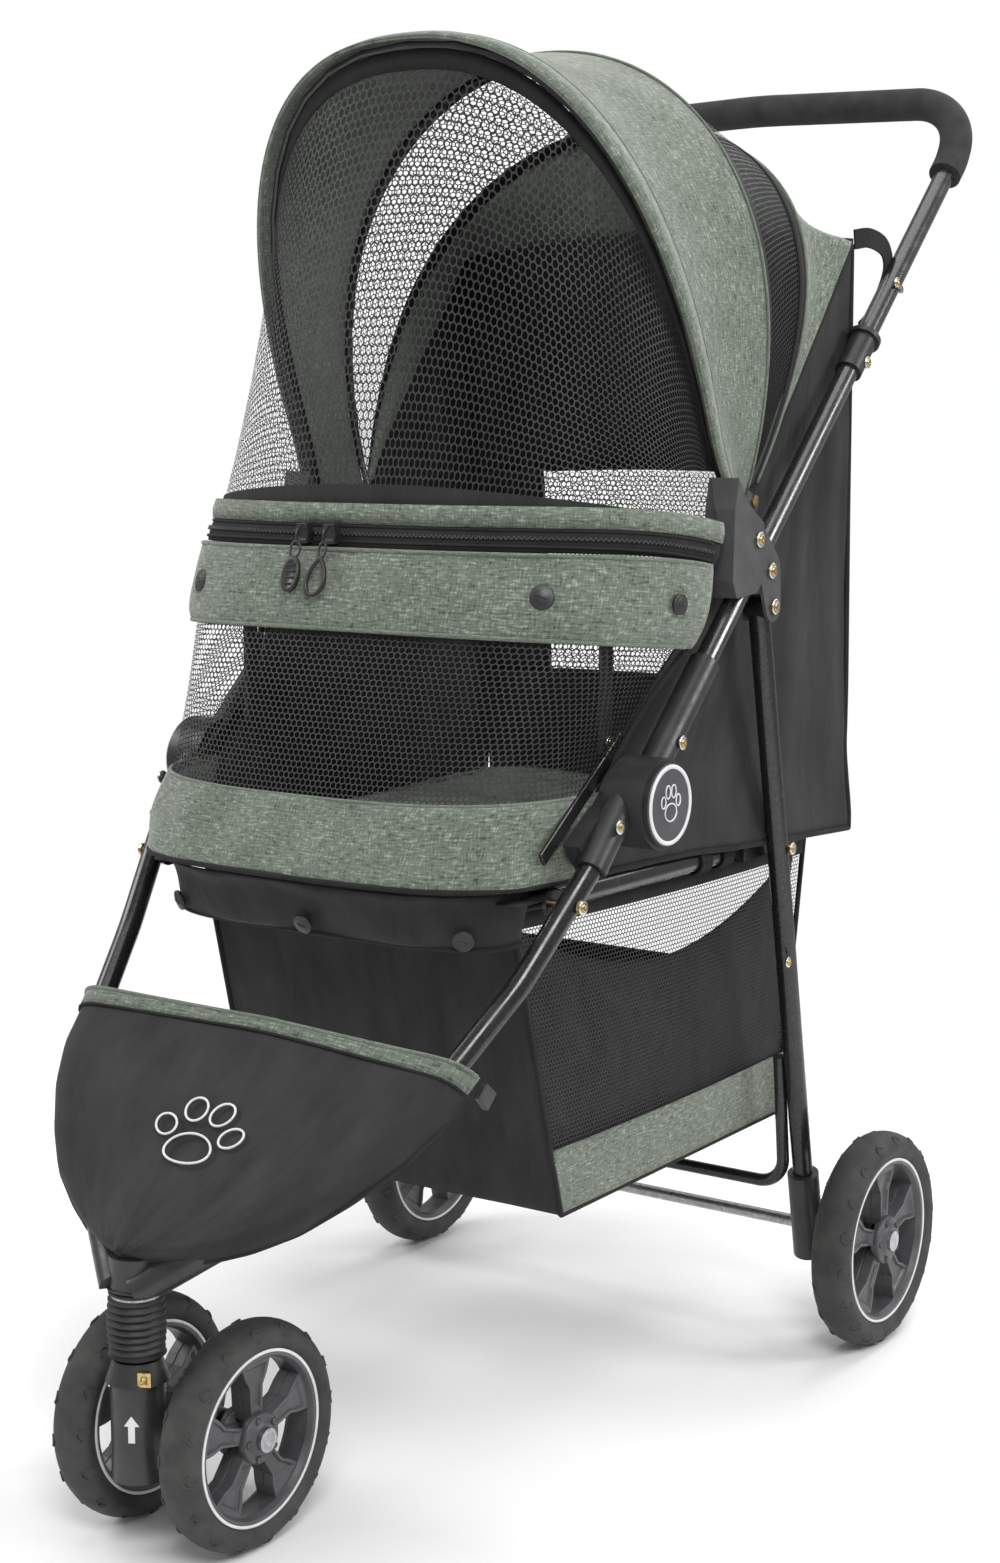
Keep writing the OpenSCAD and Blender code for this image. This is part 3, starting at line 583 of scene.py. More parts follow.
def back_arch(out=0.0):
    """The line where the side net meets the hood behind it."""
    return stood(arch(170 + out, 182 + out, 110, BACK_H + out, 2.2), BACK_BASE, BACK_TILT)


def front_x(z):
    """Half the width of the cabin's front ends at height z."""
    return float(np.interp(z, [425, 475, 534, 591, 643], [165, 166, 176, 194, 196]))


def side_x(y, z):
    """The cabin's side: inside the upper tubes, flaring out to meet the front ahead of them."""
    plain = 164 + 7 * min(1, max(0, (y + 100) / 200)) + 9 * (z - 410) / 456
    ahead = -(y - TUBE_START[0]) * math.sin(TUBE_LEAN) + (z - TUBE_START[1]) * math.cos(TUBE_LEAN)
    flare = min(1, max(0, (ahead - 8) / 26)) * min(1, max(0, (2 - y) / 18))
    return plain + flare * (front_x(z) - plain)


def roof_edge():
    """The top of the cabin's sides and back wall, from the left hoop pivot round the rear."""
    side = [(84 + 142 * v, 680 + 184 * v) for v in shares(24)]
    left = [(side_x(y, z) + 1, y, z) for y, z in side]
    rear = [(183 * (1 - 2 * u), 228 + 3 * math.sin(math.pi * u), 866 + 9 * math.sin(math.pi * u))
            for u in np.linspace(0.03, 0.97, 24)]
    return left + rear + [(-x, y, z) for x, y, z in reversed(left)]


# ---------------------------------------------------------------- camera, light and floor, in metres
CAMERA_AT = (1.0456, -1.5039, 0.7314)
CAMERA_TURN = (math.radians(90 - 8.41), 0, math.radians(34.54))
LENS, SENSOR = 56.63, 36  # millimetres
LIGHTS = {  # place, size, power
    "key": ((1.5, -1.9, 2.4), 1.1, 46),
    "side": ((2.3, 0.9, 1.6), 0.9, 28),
    "far": ((-2.0, -0.9, 1.9), 1.2, 26),
    "rear": ((0.2, 2.4, 2.2), 1.4, 24),
    "top": ((0.0, 0.3, 3.4), 3.0, 44),
}
LIT_AT = Vector((0, 0, 0.5))
STUDIO_GLOW, STUDIO_SEEN = 0.42, 1.0  # how strongly the white studio lights the stroller, and looks itself
FLOOR_FADE = (1.0, 1.7)  # the floor fades out to the white studio between these distances from its middle
FLOOR_REACH = 1800  # millimetres


def fade_out(nodes, near, far):
    """Turns a material clear between two distances from its object's middle."""
    away = nodes.new("VectorMath")
    away.operation = "LENGTH"
    fade = nodes.new("MapRange")
    fade.inputs["From Min"].default_value = near
    fade.inputs["From Max"].default_value = far
    blend = nodes.new("MixShader")
    surface = nodes.tree.nodes["Material Output"].inputs["Surface"]
    for source, target in ((nodes.new("TexCoord").outputs["Object"], away.inputs[0]),
                           (away.outputs["Value"], fade.inputs["Value"]),
                           (fade.outputs["Result"], blend.inputs[0]),
                           (nodes.shader.outputs["BSDF"], blend.inputs[1]),
                           (nodes.new("BsdfTransparent").outputs[0], blend.inputs[2]),
                           (blend.outputs[0], surface)):
        nodes.tree.links.new(source, target)


def set_stage():
    scene = bpy.context.scene
    lens = bpy.data.cameras.new("camera")
    lens.sensor_width = SENSOR
    lens.lens = LENS
    lens.clip_start = 0.05
    camera = bpy.data.objects.new("camera", lens)
    camera.location = CAMERA_AT
    camera.rotation_euler = CAMERA_TURN
    scene.collection.objects.link(camera)
    scene.camera = camera

    world = bpy.data.worlds.new("studio")
    world.use_nodes = True
    sky = world.node_tree.nodes["Background"]
    sky.inputs["Color"].default_value = (1, 1, 1, 1)
    seen = world.node_tree.nodes.new("ShaderNodeLightPath")
    level = world.node_tree.nodes.new("ShaderNodeMapRange")
    level.inputs["To Min"].default_value = STUDIO_GLOW
    level.inputs["To Max"].default_value = STUDIO_SEEN
    world.node_tree.links.new(seen.outputs["Is Camera Ray"], level.inputs["Value"])
    world.node_tree.links.new(level.outputs["Result"], sky.inputs["Strength"])
    scene.world = world
    scene.view_settings.view_transform = "Standard"

    for name, (place, size, power) in LIGHTS.items():
        lamp = bpy.data.lights.new(name, "AREA")
        lamp.size = size
        lamp.energy = power
        light = bpy.data.objects.new(name, lamp)
        light.location = place
        light.rotation_euler = (LIT_AT - Vector(place)).to_track_quat("-Z", "Y").to_euler()
        scene.collection.objects.link(light)

    paper = Nodes("pale_floor", rough=0.9)
    paper.colour(paper.ramp(paper.noise("Object", 3, 2), (0.2, 0.93), (0.8, 0.96)))
    MATERIAL["paper"] = paper.material
    fade_out(paper, *FLOOR_FADE)
    reach = FLOOR_REACH
    corners = [(-reach, -reach, -0.5), (reach, -reach, -0.5), (reach, reach, -0.5), (-reach, reach, -0.5)]
    floor = add("floor", corners, [(0, 1, 2, 3)], "paper", None)


# ---------------------------------------------------------------- canopy
def build_canopy():
    """The visor, the net strip behind it and the hood at the back."""
    visor = Surface([front_arch(6.5, 9), front_arch(6.5), front_arch(4) * 0.6 + middle_arch(3) * 0.4,
                     middle_arch(5)], across=20, along=200)
    hang = lambda s, t: -3.5 * np.sin(np.pi * np.clip((s - 0.12) / 0.85, 0, 1))
    front = patch("canopy_visor", visor, "sage", None, shape=hang, folds=(60, 2.2, 1))
    band = patch("canopy_visor_binding", visor, "sage", "canopy_front", s=(0, 0.13), lift=1.6,
                 thick=1.2)
    declare(visor.grid, ("stretched", ["front_hoop", "middle_hoop"]))
    declare(visor.at(*np.meshgrid([0, 0.13], shares(80), indexing="ij")),
            ("stretched", ["canopy_visor"]))
    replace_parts(front, "canopy_front")
    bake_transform(front)
    for name, at in (("canopy_seam_front", 0.14), ("canopy_seam_middle", 0.985)):
        line = visor.over(at, np.linspace(0.01, 0.99, 60), 1.6)
        tube(name, line, 1.1, "sage", "canopy_front" if at < 0.5 else "canopy_middle", 150)

    window = Surface([middle_arch(4), back_arch(3)], across=12, along=200, curved=False)
    strip = net("canopy_side_net", window, "canopy_middle", s=(0.03, 0.97), t=(0.01, 0.99), cell=4.4,
                held=("stretched", ["middle_hoop"]))
    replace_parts(strip, "canopy_mesh")
    for name, s in (("canopy_net_binding_front", (0, 0.1)), ("canopy_net_binding_back", (0.88, 1))):
        patch(name, window, "trim", "canopy_middle" if s[0] < 0.5 else "upper_frame", s=s,
              lift=0.8, thick=1.0, sheet=("stretched", ["middle_hoop"]))

    back = Surface([back_arch(4), roof_edge()], across=20, along=200, curved=False)
    hood = patch("canopy_hood", back, "sage", "upper_frame", t=(0.01, 0.99), folds=(45, 3.0, 4),
                 shape=lambda s, t: -4 * np.sin(np.pi * s),
                 sheet=("stretched", ["cabin_back"]))
    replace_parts(hood, "canopy_back")
    line = back.over(0.02, np.linspace(0.02, 0.98, 60), 1.2)
    tube("canopy_seam_back", line, 1.1, "sage", "upper_frame", 150)


# ---------------------------------------------------------------- door, zip and front of the cabin
def build_front():
    """The mesh door, the zip, the front net with its lip, and the flap. Returns the front surface."""
    door = Surface([bow(196, 2, -150, 662, 3.0, 14), front_arch(-3.4)], across=24, along=200, curved=False)
    cloth = net("door_net", door, "canopy_front", s=(0.05, 0.97), t=(0.01, 0.99), cell=4.8,
                held=("stretched", ["front_hoop"]))
    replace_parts(cloth, "mesh_door")
    for name, s, lift, thick, under in (("door_hem_top", (0.955, 1.0), 0.4, 1.0, "front_hoop"),
                                        ("door_hem_low", (0.0, 0.075), 0.6, 1.4, "canopy_visor")):
        patch(name, door, "trim", "canopy_front", s=s, lift=lift, thick=thick, sheet=("stretched", [under]))

    upper = Surface([bow(197, -9, -158, 643, 3.2, 14), bow(199, -5, -154, 650, 3.2, 14),
                     bow(198, -2, -151, 659, 3.1, 14), bow(197, 1, -151, 673, 3.0, 14)], along=200)
    low_trim = patch("zip_tape", upper, "trim", "front_rail", s=(0.0, 0.56), thick=1.2,
                     sheet=("stretched", ["front_rail"]), slot="black_plastic")
    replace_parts(low_trim, "zipper")
    patch("sill_band", upper, "sage", "canopy_front", s=(0.55, 1.0), lift=1.2, thick=1.6,
          shape=lambda s, t: 1.5 * np.sin(np.pi * np.clip((s - 0.55) / 0.45, 0, 1)),
          sheet=("stretched", ["door_hem_low"]))
    ends = np.linspace(0.02, 0.98, 200)
    for name, at in (("zip_cord_low", 0.12), ("zip_cord_high", 0.5)):
        tube(name, upper.over(at, ends, 0.8), 1.2, "trim", "front_rail", 200, slot="black_plastic")
    coil = [upper.at(0.3 + 0.035 * math.sin(k * math.pi / 2), t)
            + upper.normal(0.3, t) * (1.2 + 0.8 * (k % 2))
            for k, t in enumerate(np.linspace(0.015, 0.985, 640))]
    tube("zip_teeth", coil, 0.7, "plastic", "front_rail", 1300, sides=5)

    front = Surface([bow(165, -130, -246, 425, 3.4), bow(166, -112, -221, 475, 3.4),
                     bow(176, -66, -197, 534, 3.4), bow(194, -26, -173, 591, 3.2, 4),
                     bow(196, -14, -157, 643, 3.2, 10)], across=40, along=220)
    lip_top = 0.245
    flap_low = 0.745
    window = net("front_net", front, "upper_frame", s=(lip_top - 0.02, flap_low + 0.06), t=(0.005, 0.995),
                 cell=4.8, held=("stretched", ["front_rail"]))
    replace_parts(window, "cabin_front")
    roll = lambda s, t: 3.0 * np.sin(np.pi * np.clip(s / lip_top, 0, 1)) ** 0.5
    patch("front_lip", front, "sage", "upper_frame", s=(0.0, lip_top), lift=1.0, thick=1.8,
          shape=roll, folds=(38, 4.5, 7), step=4, sheet=("stretched", ["front_net"]))
    for name, at, radius, finish in (("front_lip_piping_low", 0.004, 2.0, "trim"),
                                     ("front_lip_piping_high", lip_top, 1.3, "sage")):
        line = front.over(at, ends, 1.5)
        tube(name, line, radius, finish, "upper_frame", 220)
    puff = lambda s, t: 4.0 * np.sin(np.pi * np.clip((s - flap_low) / (0.992 - flap_low), 0, 1)) ** 0.6
    flap = patch("front_flap_band", front, "sage", "front_rail", s=(flap_low, 0.992),
                 t=(0.0, 1.0), lift=2.5, thick=2.2, shape=puff, folds=(42, 3.2, 9), step=4,
                 sheet=("stretched", ["front_rail"]))
    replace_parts(flap, "front_flap")
    for name, at in (("flap_edge_low", flap_low + 0.004), ("flap_edge_high", 0.988)):
        tube(name, front.over(at, ends, 4.0), 1.6, "sage", "front_rail", 220)
    stitches("flap_stitches", front.over(flap_low + 0.035, ends, 5.4), "front_rail")
    for side, t0 in (("left", 0.0), ("right", 1.0)):
        line = front.at(np.linspace(0.0, flap_low, 24), t0)
        tube(f"front_edge_binding_{side}", line, 2.6, "trim", "upper_frame", 60, sides=10)
    return front


def stitches(name, line, body, length=2.6, gap=1.6, width=0.35):
    """A row of short sewn stitches lying on a line."""
    line = resample(line, 1200)
    steps = np.concatenate([[0], np.cumsum(np.linalg.norm(np.diff(line, axis=0), axis=1))])
    verts, faces = [], []
    for start in np.arange(2, steps[-1] - length - 2, length + gap):
        a = np.array([np.interp(start, steps, line[:, k]) for k in range(3)])
        b = np.array([np.interp(start + length, steps, line[:, k]) for k in range(3)])
        u = unit(b - a)
        side = unit(np.cross(u, [0.3, 0.2, 1])) * width
        up = np.cross(u, side)
        first = len(verts)
        for p in (a, b):
            verts += [p + side, p + up, p - side, p - up]
        faces += [tuple(first + i for i in f) for f in
                  ((0, 1, 5, 4), (1, 2, 6, 5), (2, 3, 7, 6), (3, 0, 4, 7), (3, 2, 1, 0), (4, 5, 6, 7))]
    add(name, verts, faces, "sage", body, [(v[0] * MM, v[2] * MM) for v in verts])


class Pile:
    """Several closed shapes gathered into one mesh piece."""

    def __init__(self):
        self.verts = []
        self.faces = []

    def grow(self, verts, faces):
        first = len(self.verts)
        self.verts += [np.asarray(v, float) for v in verts]
        self.faces += [tuple(first + i for i in face) for face in faces]

    def revolve(self, profile, centre, axis, sides=32, closed=False):
        """profile holds (height along the axis, radius) pairs; closed joins its ends into a ring."""
        axis = unit(np.asarray(axis, float))
        side = unit(np.cross(axis, [0, 0, 1] if abs(axis[2]) < 0.9 else [1, 0, 0]))
        up = np.cross(axis, side)
        verts = [np.asarray(centre) + axis * h + (side * math.cos(a) + up * math.sin(a)) * r
                 for h, r in profile for a in round_angles(sides)]
        self.grow(verts, ring_faces(len(profile), sides, closed))

    def line(self, points, radius, sides=6, count=None):
        line = smooth_line(points, count or len(points) * 3)
        along = np.gradient(line, axis=0)
        side = unit(np.cross(along[0], [0.31, 0.2, 1]))
        verts = []
        for p, u in zip(line, along):
            u = unit(u)
            side = unit(side - u * np.dot(side, u))
            up = np.cross(u, side)
            verts += [p + radius * (side * math.cos(a) + up * math.sin(a)) for a in round_angles(sides)]
        self.grow(verts, ring_faces(len(line), sides))

    def prism(self, outline, place, low, high, rim=0.0, sink=0.0):
        """An outline raised from low to high, put in place by place(a, b, h). Its top sinks inside rim."""
        outline = np.asarray(outline, float)
        middle = outline.mean(axis=0)
        loops = [(outline, low), (outline, high)]
        if rim:
            inner = middle + (outline - middle) * (1 - rim)
            loops += [(inner, high), (middle + (outline - middle) * (1 - rim * 1.4), high - sink)]
        verts = [place(a, b, h) for loop, h in loops for a, b in loop]
        self.grow(verts, ring_faces(len(loops), len(outline)))

    def piece(self, name, finish, body, smooth=True, bevel=0.0, slot=None):
        piece = add(name, self.verts, self.faces, finish, body, smooth=smooth, slot=slot)
        tidy = bmesh.new()
        tidy.from_mesh(piece.data)
        bmesh.ops.recalc_face_normals(tidy, faces=tidy.faces)
        tidy.to_mesh(piece.data)
        tidy.free()
        if bevel:
            soften(piece, bevel)
        return piece


# ---------------------------------------------------------------- cabin sides, back and pad
def edge_line(points, k):
    """A point a share k of the way along a broken line of (y, z) points."""
    line = resample([(0, y, z) for y, z in points], 101)
    return line[int(round(k * 100))][1:]


# the four edges of the cabin's side as (y, z) points, from the floor up and from front to rear
SIDE_FRONT = [(-130, 425), (-112, 475), (-66, 534), (-26, 591), (-14, 643)]
SIDE_REAR = [(249, 408), (246, 520), (237, 668), (227, 862)]
SIDE_LOW = [(-130, 425), (-60, 423), (10, 421), (90, 417), (249, 408)]
SIDE_TOP = [(-14, 643), (30, 660), (84, 681), (150, 767), (227, 866)]


def side_point(u, k, side):
    """The cabin's side, u from front to back and k from the floor up, between its four edges."""
    low, top = edge_line(SIDE_LOW, u), edge_line(SIDE_TOP, u)
    front, rear = edge_line(SIDE_FRONT, k), edge_line(SIDE_REAR, k)
    corners = ((1 - u) * (1 - k) * np.array(SIDE_LOW[0]) + u * (1 - k) * np.array(SIDE_LOW[-1])
               + (1 - u) * k * np.array(SIDE_TOP[0]) + u * k * np.array(SIDE_TOP[-1]))
    y, z = (1 - k) * low + k * top + (1 - u) * front + u * rear - corners
    over_bar = 5.5 * np.clip((470 - z) / 50, 0, 1) * np.clip((y - 20) / 40, 0, 1)
    return side * (side_x(y, z) + over_bar), y, z


def side_drape(s, t):
    """The slack of the cabin's side, with upright creases in its rear half."""
    slack = -5.0 * np.sin(np.pi * s) * np.sin(np.pi * t)
    creases = 1.6 * np.sin(34 * t + 4 * s) * np.sin(np.pi * s)
    return slack + creases * np.clip((t - 0.45) * 4, 0, 1) * np.clip((0.97 - t) * 30, 0, 1)


def build_cabin():
    lengthwise = shares(60)
    for name, side in SIDES.items():
        rows = [[side_point(u, k, side) for u in lengthwise] for k in shares(30)]
        surface = Surface(rows, across=60, along=100)
        panel = patch(f"cabin_side_{name}", surface, "black_cloth", "upper_frame",
                      shape=side_drape, folds=(70, 3.0, 12 + side), outward=-side, step=7,
                      sheet=("hung", ["floor_board"]))
        if side == 1:
            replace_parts(panel, "cabin_sides")
        ks = shares(40)
        edges = {"rear": surface.at(ks, 1.0), "low": surface.at(0.0, ks), "top": surface.at(1.0, ks)}
        for edge, line in edges.items():
            tube(f"cabin_side_{edge}_binding_{name}", line, 2.4, "trim", "upper_frame", 80)
    rows = []
    for k in shares(24):
        y, z = edge_line(SIDE_REAR, k)
        x = side_x(y, z)
        spread = shares(40)
        crest = k**4 * np.sin(np.pi * spread)
        rows.append([(x * (1 - 2 * u), y + 3 * c, z + 5 * k**4 + 11 * c) for u, c in zip(spread, crest)])
    back = Surface(rows, across=50, along=60)
    low, high, edge = 0.235, 0.605, 0.185
    parts = {"low": ((0, low), (0, 1)), "high": ((high, 1), (0, 1)), "left": ((low, high), (0, edge)),
             "right": ((low, high), (1 - edge, 1))}
    for name, (s_range, t_range) in parts.items():
        wall = patch(f"cabin_rear_{name}", back, "black_cloth", "upper_frame", s=s_range,
                     t=t_range, folds=(80, 2.5, 31), outward=-1, step=7, sheet=("hung", ["floor_board"]))
        if name == "low":
            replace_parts(wall, "cabin_back")
    net("cabin_rear_window", back, "upper_frame", s=(low, high), t=(edge, 1 - edge), cell=4.4,
        held=("stretched", ["cabin_rear_low"]))
    ts, ss = np.linspace(edge, 1 - edge, 20), np.linspace(low, high, 16)
    frame_line = np.vstack([back.at(low, ts), back.at(ss[1:], 1 - edge), back.at(high, ts[::-1][1:]),
                            back.at(ss[::-1][1:], edge)])
    tube("cabin_rear_window_binding", frame_line + [0, 1.5, 0], 3.0, "trim", "upper_frame", 160)
    for name, at in (("low", 0.03), ("high", 0.985)):
        patch(f"cabin_rear_band_{name}", back, "trim", "upper_frame",
              s=(max(0, at - 0.03), min(1, at + 0.03)), lift=2.2, outward=-1, thick=1.2,
              sheet=("stretched", [f"cabin_rear_{name}"]))
    floor_rows = [[(x, y, 415 - 3 * math.cos(x / 110)) for x in np.linspace(160, -160, 30)]
                  for y in np.linspace(-196, 246, 24)]
    patch("cabin_floor_cloth", Surface(floor_rows, across=40, along=50), "black_cloth", "side_link", step=9,
          folds=(70, 1.5, 44), sheet=("laid", ["floor_board"]))
    for name, side in SIDES.items():
        x = side * (side_x(227, 862) + 3)
        loop = [(x, 226, 866), (x + side * 3, 246, 868), (x + side * 3, 272, 862), (x + side * 3, 279, 846),
                (x + side * 3, 268, 826), (x + side * 2, 250, 806), (x, 240, 798)]
        tube(f"corner_strap_{name}", loop, 0, "trim", "upper_frame", 40, flat=(1.8, 15, (1, 0, 0)))


def build_pad():
    """The floor cushion: a rounded slab swollen as cloth, its sides drawn in between the corners."""
    low, high = (Vector(p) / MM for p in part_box("cabin_pad"))
    across, along = 30, 40
    half_x, half_y = (high.x - low.x) / 2 - 5, (high.y - low.y) / 2 - 5
    mid_y = (high.y + low.y) / 2

    def spot(i, j, top):
        u, v = 2 * i / across - 1, 2 * j / along - 1
        waist = 1 - 0.025 * (1 - v * v), 1 - 0.02 * (1 - u * u)
        edge = max(abs(u), abs(v)) ** 6
        height = 7.0 * (1 - edge)
        return (u * half_x * waist[0], mid_y + v * half_y * waist[1],
                (low.z + high.z) / 2 + (height if top else -height))

    verts = [spot(i, j, top) for top in (True, False) for i in range(across + 1) for j in range(along + 1)]
    half = (across + 1) * (along + 1)
    at = lambda i, j, top: (0 if top else half) + i * (along + 1) + j
    faces = []
    for i in range(across):
        for j in range(along):
            faces.append((at(i, j, 1), at(i + 1, j, 1), at(i + 1, j + 1, 1), at(i, j + 1, 1)))
            faces.append((at(i, j, 0), at(i, j + 1, 0), at(i + 1, j + 1, 0), at(i + 1, j, 0)))
    rim = ([(i, 0) for i in range(across)] + [(across, j) for j in range(along)]
           + [(i, along) for i in range(across, 0, -1)] + [(0, j) for j in range(along, 0, -1)])
    for k, (i, j) in enumerate(rim):
        i2, j2 = rim[(k + 1) % len(rim)]
        faces.append((at(i, j, 1), at(i, j, 0), at(i2, j2, 0), at(i2, j2, 1)))
    pad = add("cabin_cushion", verts, faces, "sage_pad", None)
    swell(pad, cap=6)
    channels(pad, low.z + 8, (-70, 0, 70), (mid_y - 100, mid_y, mid_y + 100), 3.2, 7)
    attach(pad, "side_link")
    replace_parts(pad, "cabin_pad")
    corners = ((-1, -1), (0, -0.985), (1, -1), (0.985, 0), (1, 1), (0, 0.985), (-1, 1), (-0.985, 0), (-1, -1))
    rim = [(u * half_x, mid_y + v * half_y, (low.z + high.z) / 2 + 1) for u, v in corners]
    tube("cushion_piping", rim, 2.0, "sage_pad", "side_link", 160)


def swell(piece, cap, voxel=5.0, pressure=4.0, frames=20):
    """Blows the piece up as cloth, lets no point move more than cap, and keeps the result."""
    scene = bpy.context.scene
    remesh = piece.modifiers.new("voxels", "REMESH")
    remesh.mode = "VOXEL"
    remesh.voxel_size = voxel * MM
    bake(piece)
    rest = np.array([v.co for v in piece.data.vertices])
    cloth = piece.modifiers.new("cloth", "CLOTH")
    cloth.settings.use_pressure = True
    cloth.settings.uniform_pressure_force = pressure
    cloth.settings.effector_weights.gravity = 0
    cloth.settings.quality = 4
    for frame_number in range(1, frames + 1):
        scene.frame_set(frame_number)
    bake(piece)
    scene.frame_set(1)
    moved = np.array([v.co for v in piece.data.vertices])
    if len(moved) == len(rest):
        shift = moved - rest
        size = np.maximum(1e-9, np.linalg.norm(shift, axis=1, keepdims=True))
        moved = rest + shift * np.minimum(1, cap * MM / size)
        piece.data.vertices.foreach_set("co", moved.ravel())
    smooth = piece.modifiers.new("smooth", "SUBSURF")
    smooth.levels = smooth.render_levels = 1
    bake(piece)
    for polygon in piece.data.polygons:
        polygon.use_smooth = True


def bake(piece):
    """Applies the piece's modifiers to its mesh."""
    graph = bpy.context.evaluated_depsgraph_get()
    done = bpy.data.meshes.new_from_object(piece.evaluated_get(graph), depsgraph=graph)
    finish = piece.data.materials[0]
    piece.modifiers.clear()
    piece.data = done
    if not piece.data.materials:
        piece.data.materials.append(finish)


def channels(piece, above, xs, ys, depth, width):
    """Presses sewn channels into the top of a cushion, along lines at xs and ys."""
    for vertex in piece.data.vertices:
        x, y, z = vertex.co / MM
        if z < above:
            continue
        near = min([abs(x - at) for at in xs] + [abs(y - at) for at in ys])
        vertex.co.z -= depth * MM * math.exp(-(near / width) ** 2)


# ---------------------------------------------------------------- basket
# (y, z) of the basket's front and rear edges, at the top and at the bottom
BASKET_FRONT = ((-168, 404), (-110, BASKET_Z + 2))
BASKET_REAR = ((255, 396), (210, BASKET_Z + 2))


def basket_side(side, sag=3, inset=0):
    """The basket's side, bulging a little, its top edge hanging by sag between the side tube's ends."""
    rows = []
    for k in shares(12):
        front = np.array(BASKET_FRONT[1]) * (1 - k) + np.array(BASKET_FRONT[0]) * k
        rear = np.array(BASKET_REAR[1]) * (1 - k) + np.array(BASKET_REAR[0]) * k
        row = []
        for u in shares(40):
            y, z = front * (1 - u) + rear * u
            z -= k**3 * sag * math.sin(math.pi * u) ** 0.8
            bulge = 6 * math.sin(math.pi * k) * math.sin(math.pi * u)
            row.append((side * (BASKET_X - 7 + bulge - 4 * k - inset), y, z))
        rows.append(row)
    return Surface(rows, across=40, along=80)


def build_basket():
    """The basket's nets, linings, bands and walls, and the skirt in front of it."""
    for name, side in SIDES.items():
        surface = basket_side(side)
        net(f"basket_net_{name}", surface, "side_link", s=(0.2, 0.985), t=(0.01, 0.99), cell=3.6, yarn=0.24,
            held=("hung", ["side_tubes"]))
        lining = basket_side(side, sag=62, inset=7)
        patch(f"basket_lining_{name}", lining, "black_cloth", "side_link", s=(0.03, 0.97),
              t=(0.01, 0.99), folds=(60, 5, 77 + side), outward=side, sheet=("hung", ["side_tubes"]))
        hem = lining.at(0.97, np.linspace(0.01, 0.99, 40))
        tube(f"basket_lining_hem_{name}", hem, 1.6, "trim", "side_link", 80)
        patch(f"basket_band_{name}", surface, "sage", "side_link", s=(0.005, 0.215), lift=0.8,
              outward=-side, folds=(40, 1.6, 50 + side), step=5, sheet=("stretched", [f"basket_net_{name}"]))
        ks = shares(30)
        for edge, line, radius in (("low", surface.at(0.0, ks), 2.2), ("front", surface.at(ks, 0.0), 2.2),
                                   ("rear", surface.at(ks, 1.0), 2.2), ("top", surface.at(1.0, ks), 2.6)):
            tube(f"basket_binding_{edge}_{name}", line, radius, "trim", "side_link", 70)
        patch(f"basket_top_hem_{name}", surface, "trim", "side_link", s=(0.94, 1.0), lift=0.5,
              outward=-side, thick=1.0, sheet=("stretched", [f"basket_net_{name}"]))
    x = BASKET_X - 8

    def wall(points, lean):
        return [[(x * (1 - 2 * u), y + lean * math.sin(math.pi * u) * math.sin(math.pi * k), z)
                 for u in shares(30)] for k, (y, z) in zip(np.linspace(0, 1, len(points)), points)]

    spread = shares(14)
    low, high = np.array(BASKET_FRONT[1]), np.array(BASKET_FRONT[0])
    front = Surface(wall([low + (high - low) * k for k in spread], 5), across=40, along=60)
    panel = patch("basket_front", front, "black_cloth", "side_link", folds=(75, 5, 61),
                  sheet=("hung", ["side_tubes"]))
    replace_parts(panel, "basket")
    low, high = np.array(BASKET_REAR[1]), np.array(BASKET_REAR[0])
    open_from = 0.5
    rear = Surface(wall([low + (high - low) * k * open_from for k in spread], -4), across=40, along=60)
    patch("basket_rear", rear, "black_cloth", "side_link", folds=(75, 4, 66),
          sheet=("hung", ["side_tubes"]))
    tube("basket_rear_hem", rear.at(1.0, shares(30)), 2.2, "trim", "side_link", 60)
    rows = [[(x * (1 - 2 * u), y, BASKET_Z + 3 - 1.5 * math.sin(math.pi * u)) for u in shares(20)]
            for y in np.linspace(-110, 210, 20)]
    bottom = Surface(rows, across=30, along=40)
    patch("basket_bottom", bottom, "black_cloth", "side_link", step=9, folds=(80, 1.5, 70),
          sheet=("stretched", ["basket_front"]))

    flap = Surface([bow(150, -135, -238, 421, 3.6), bow(149, -135, -226, 408, 3.6),
                    bow(147, -140, -213, 381, 3.8, -7)], across=20, along=140)
    patch("front_skirt", flap, "black_cloth", "upper_frame", t=(0.08, 0.92),
                  folds=(48, 4.5, 80), outward=-1, step=5, sheet=("hung", ["front_lip"]))
    line = flap.at(0.98, np.linspace(0.08, 0.92, 60))
    tube("front_skirt_hem", line, 1.8, "trim", "upper_frame", 120)
    snaps = Pile()
    for t in (0.19, 0.5, 0.81):
        out = -flap.normal(0.76, t)
        snap(snaps, flap.at(0.76, t) + out * 4.5, out)
    snaps.piece("skirt_snaps", "plastic", "upper_frame")


def snap(pile, centre, axis, radius=7.5):
    """A press stud's cap: a low dome with a turned rim."""
    dome = [(-1.5, radius * 0.8), (0.2, radius), (1.4, radius), (2.1, radius * 0.93), (2.0, radius * 0.84),
            (2.6, radius * 0.6), (3.0, radius * 0.3), (3.1, 0.05)]
    pile.revolve(dome, centre, axis, 28)
    centre, axis = np.asarray(centre, float), unit(np.asarray(axis, float))
    slot = unit(np.cross(axis, [0.4, 0, 1])) * radius * 0.45
    pile.line([centre + axis * 3 - slot, centre + axis * 3.6, centre + axis * 3 + slot], 0.5, 6)


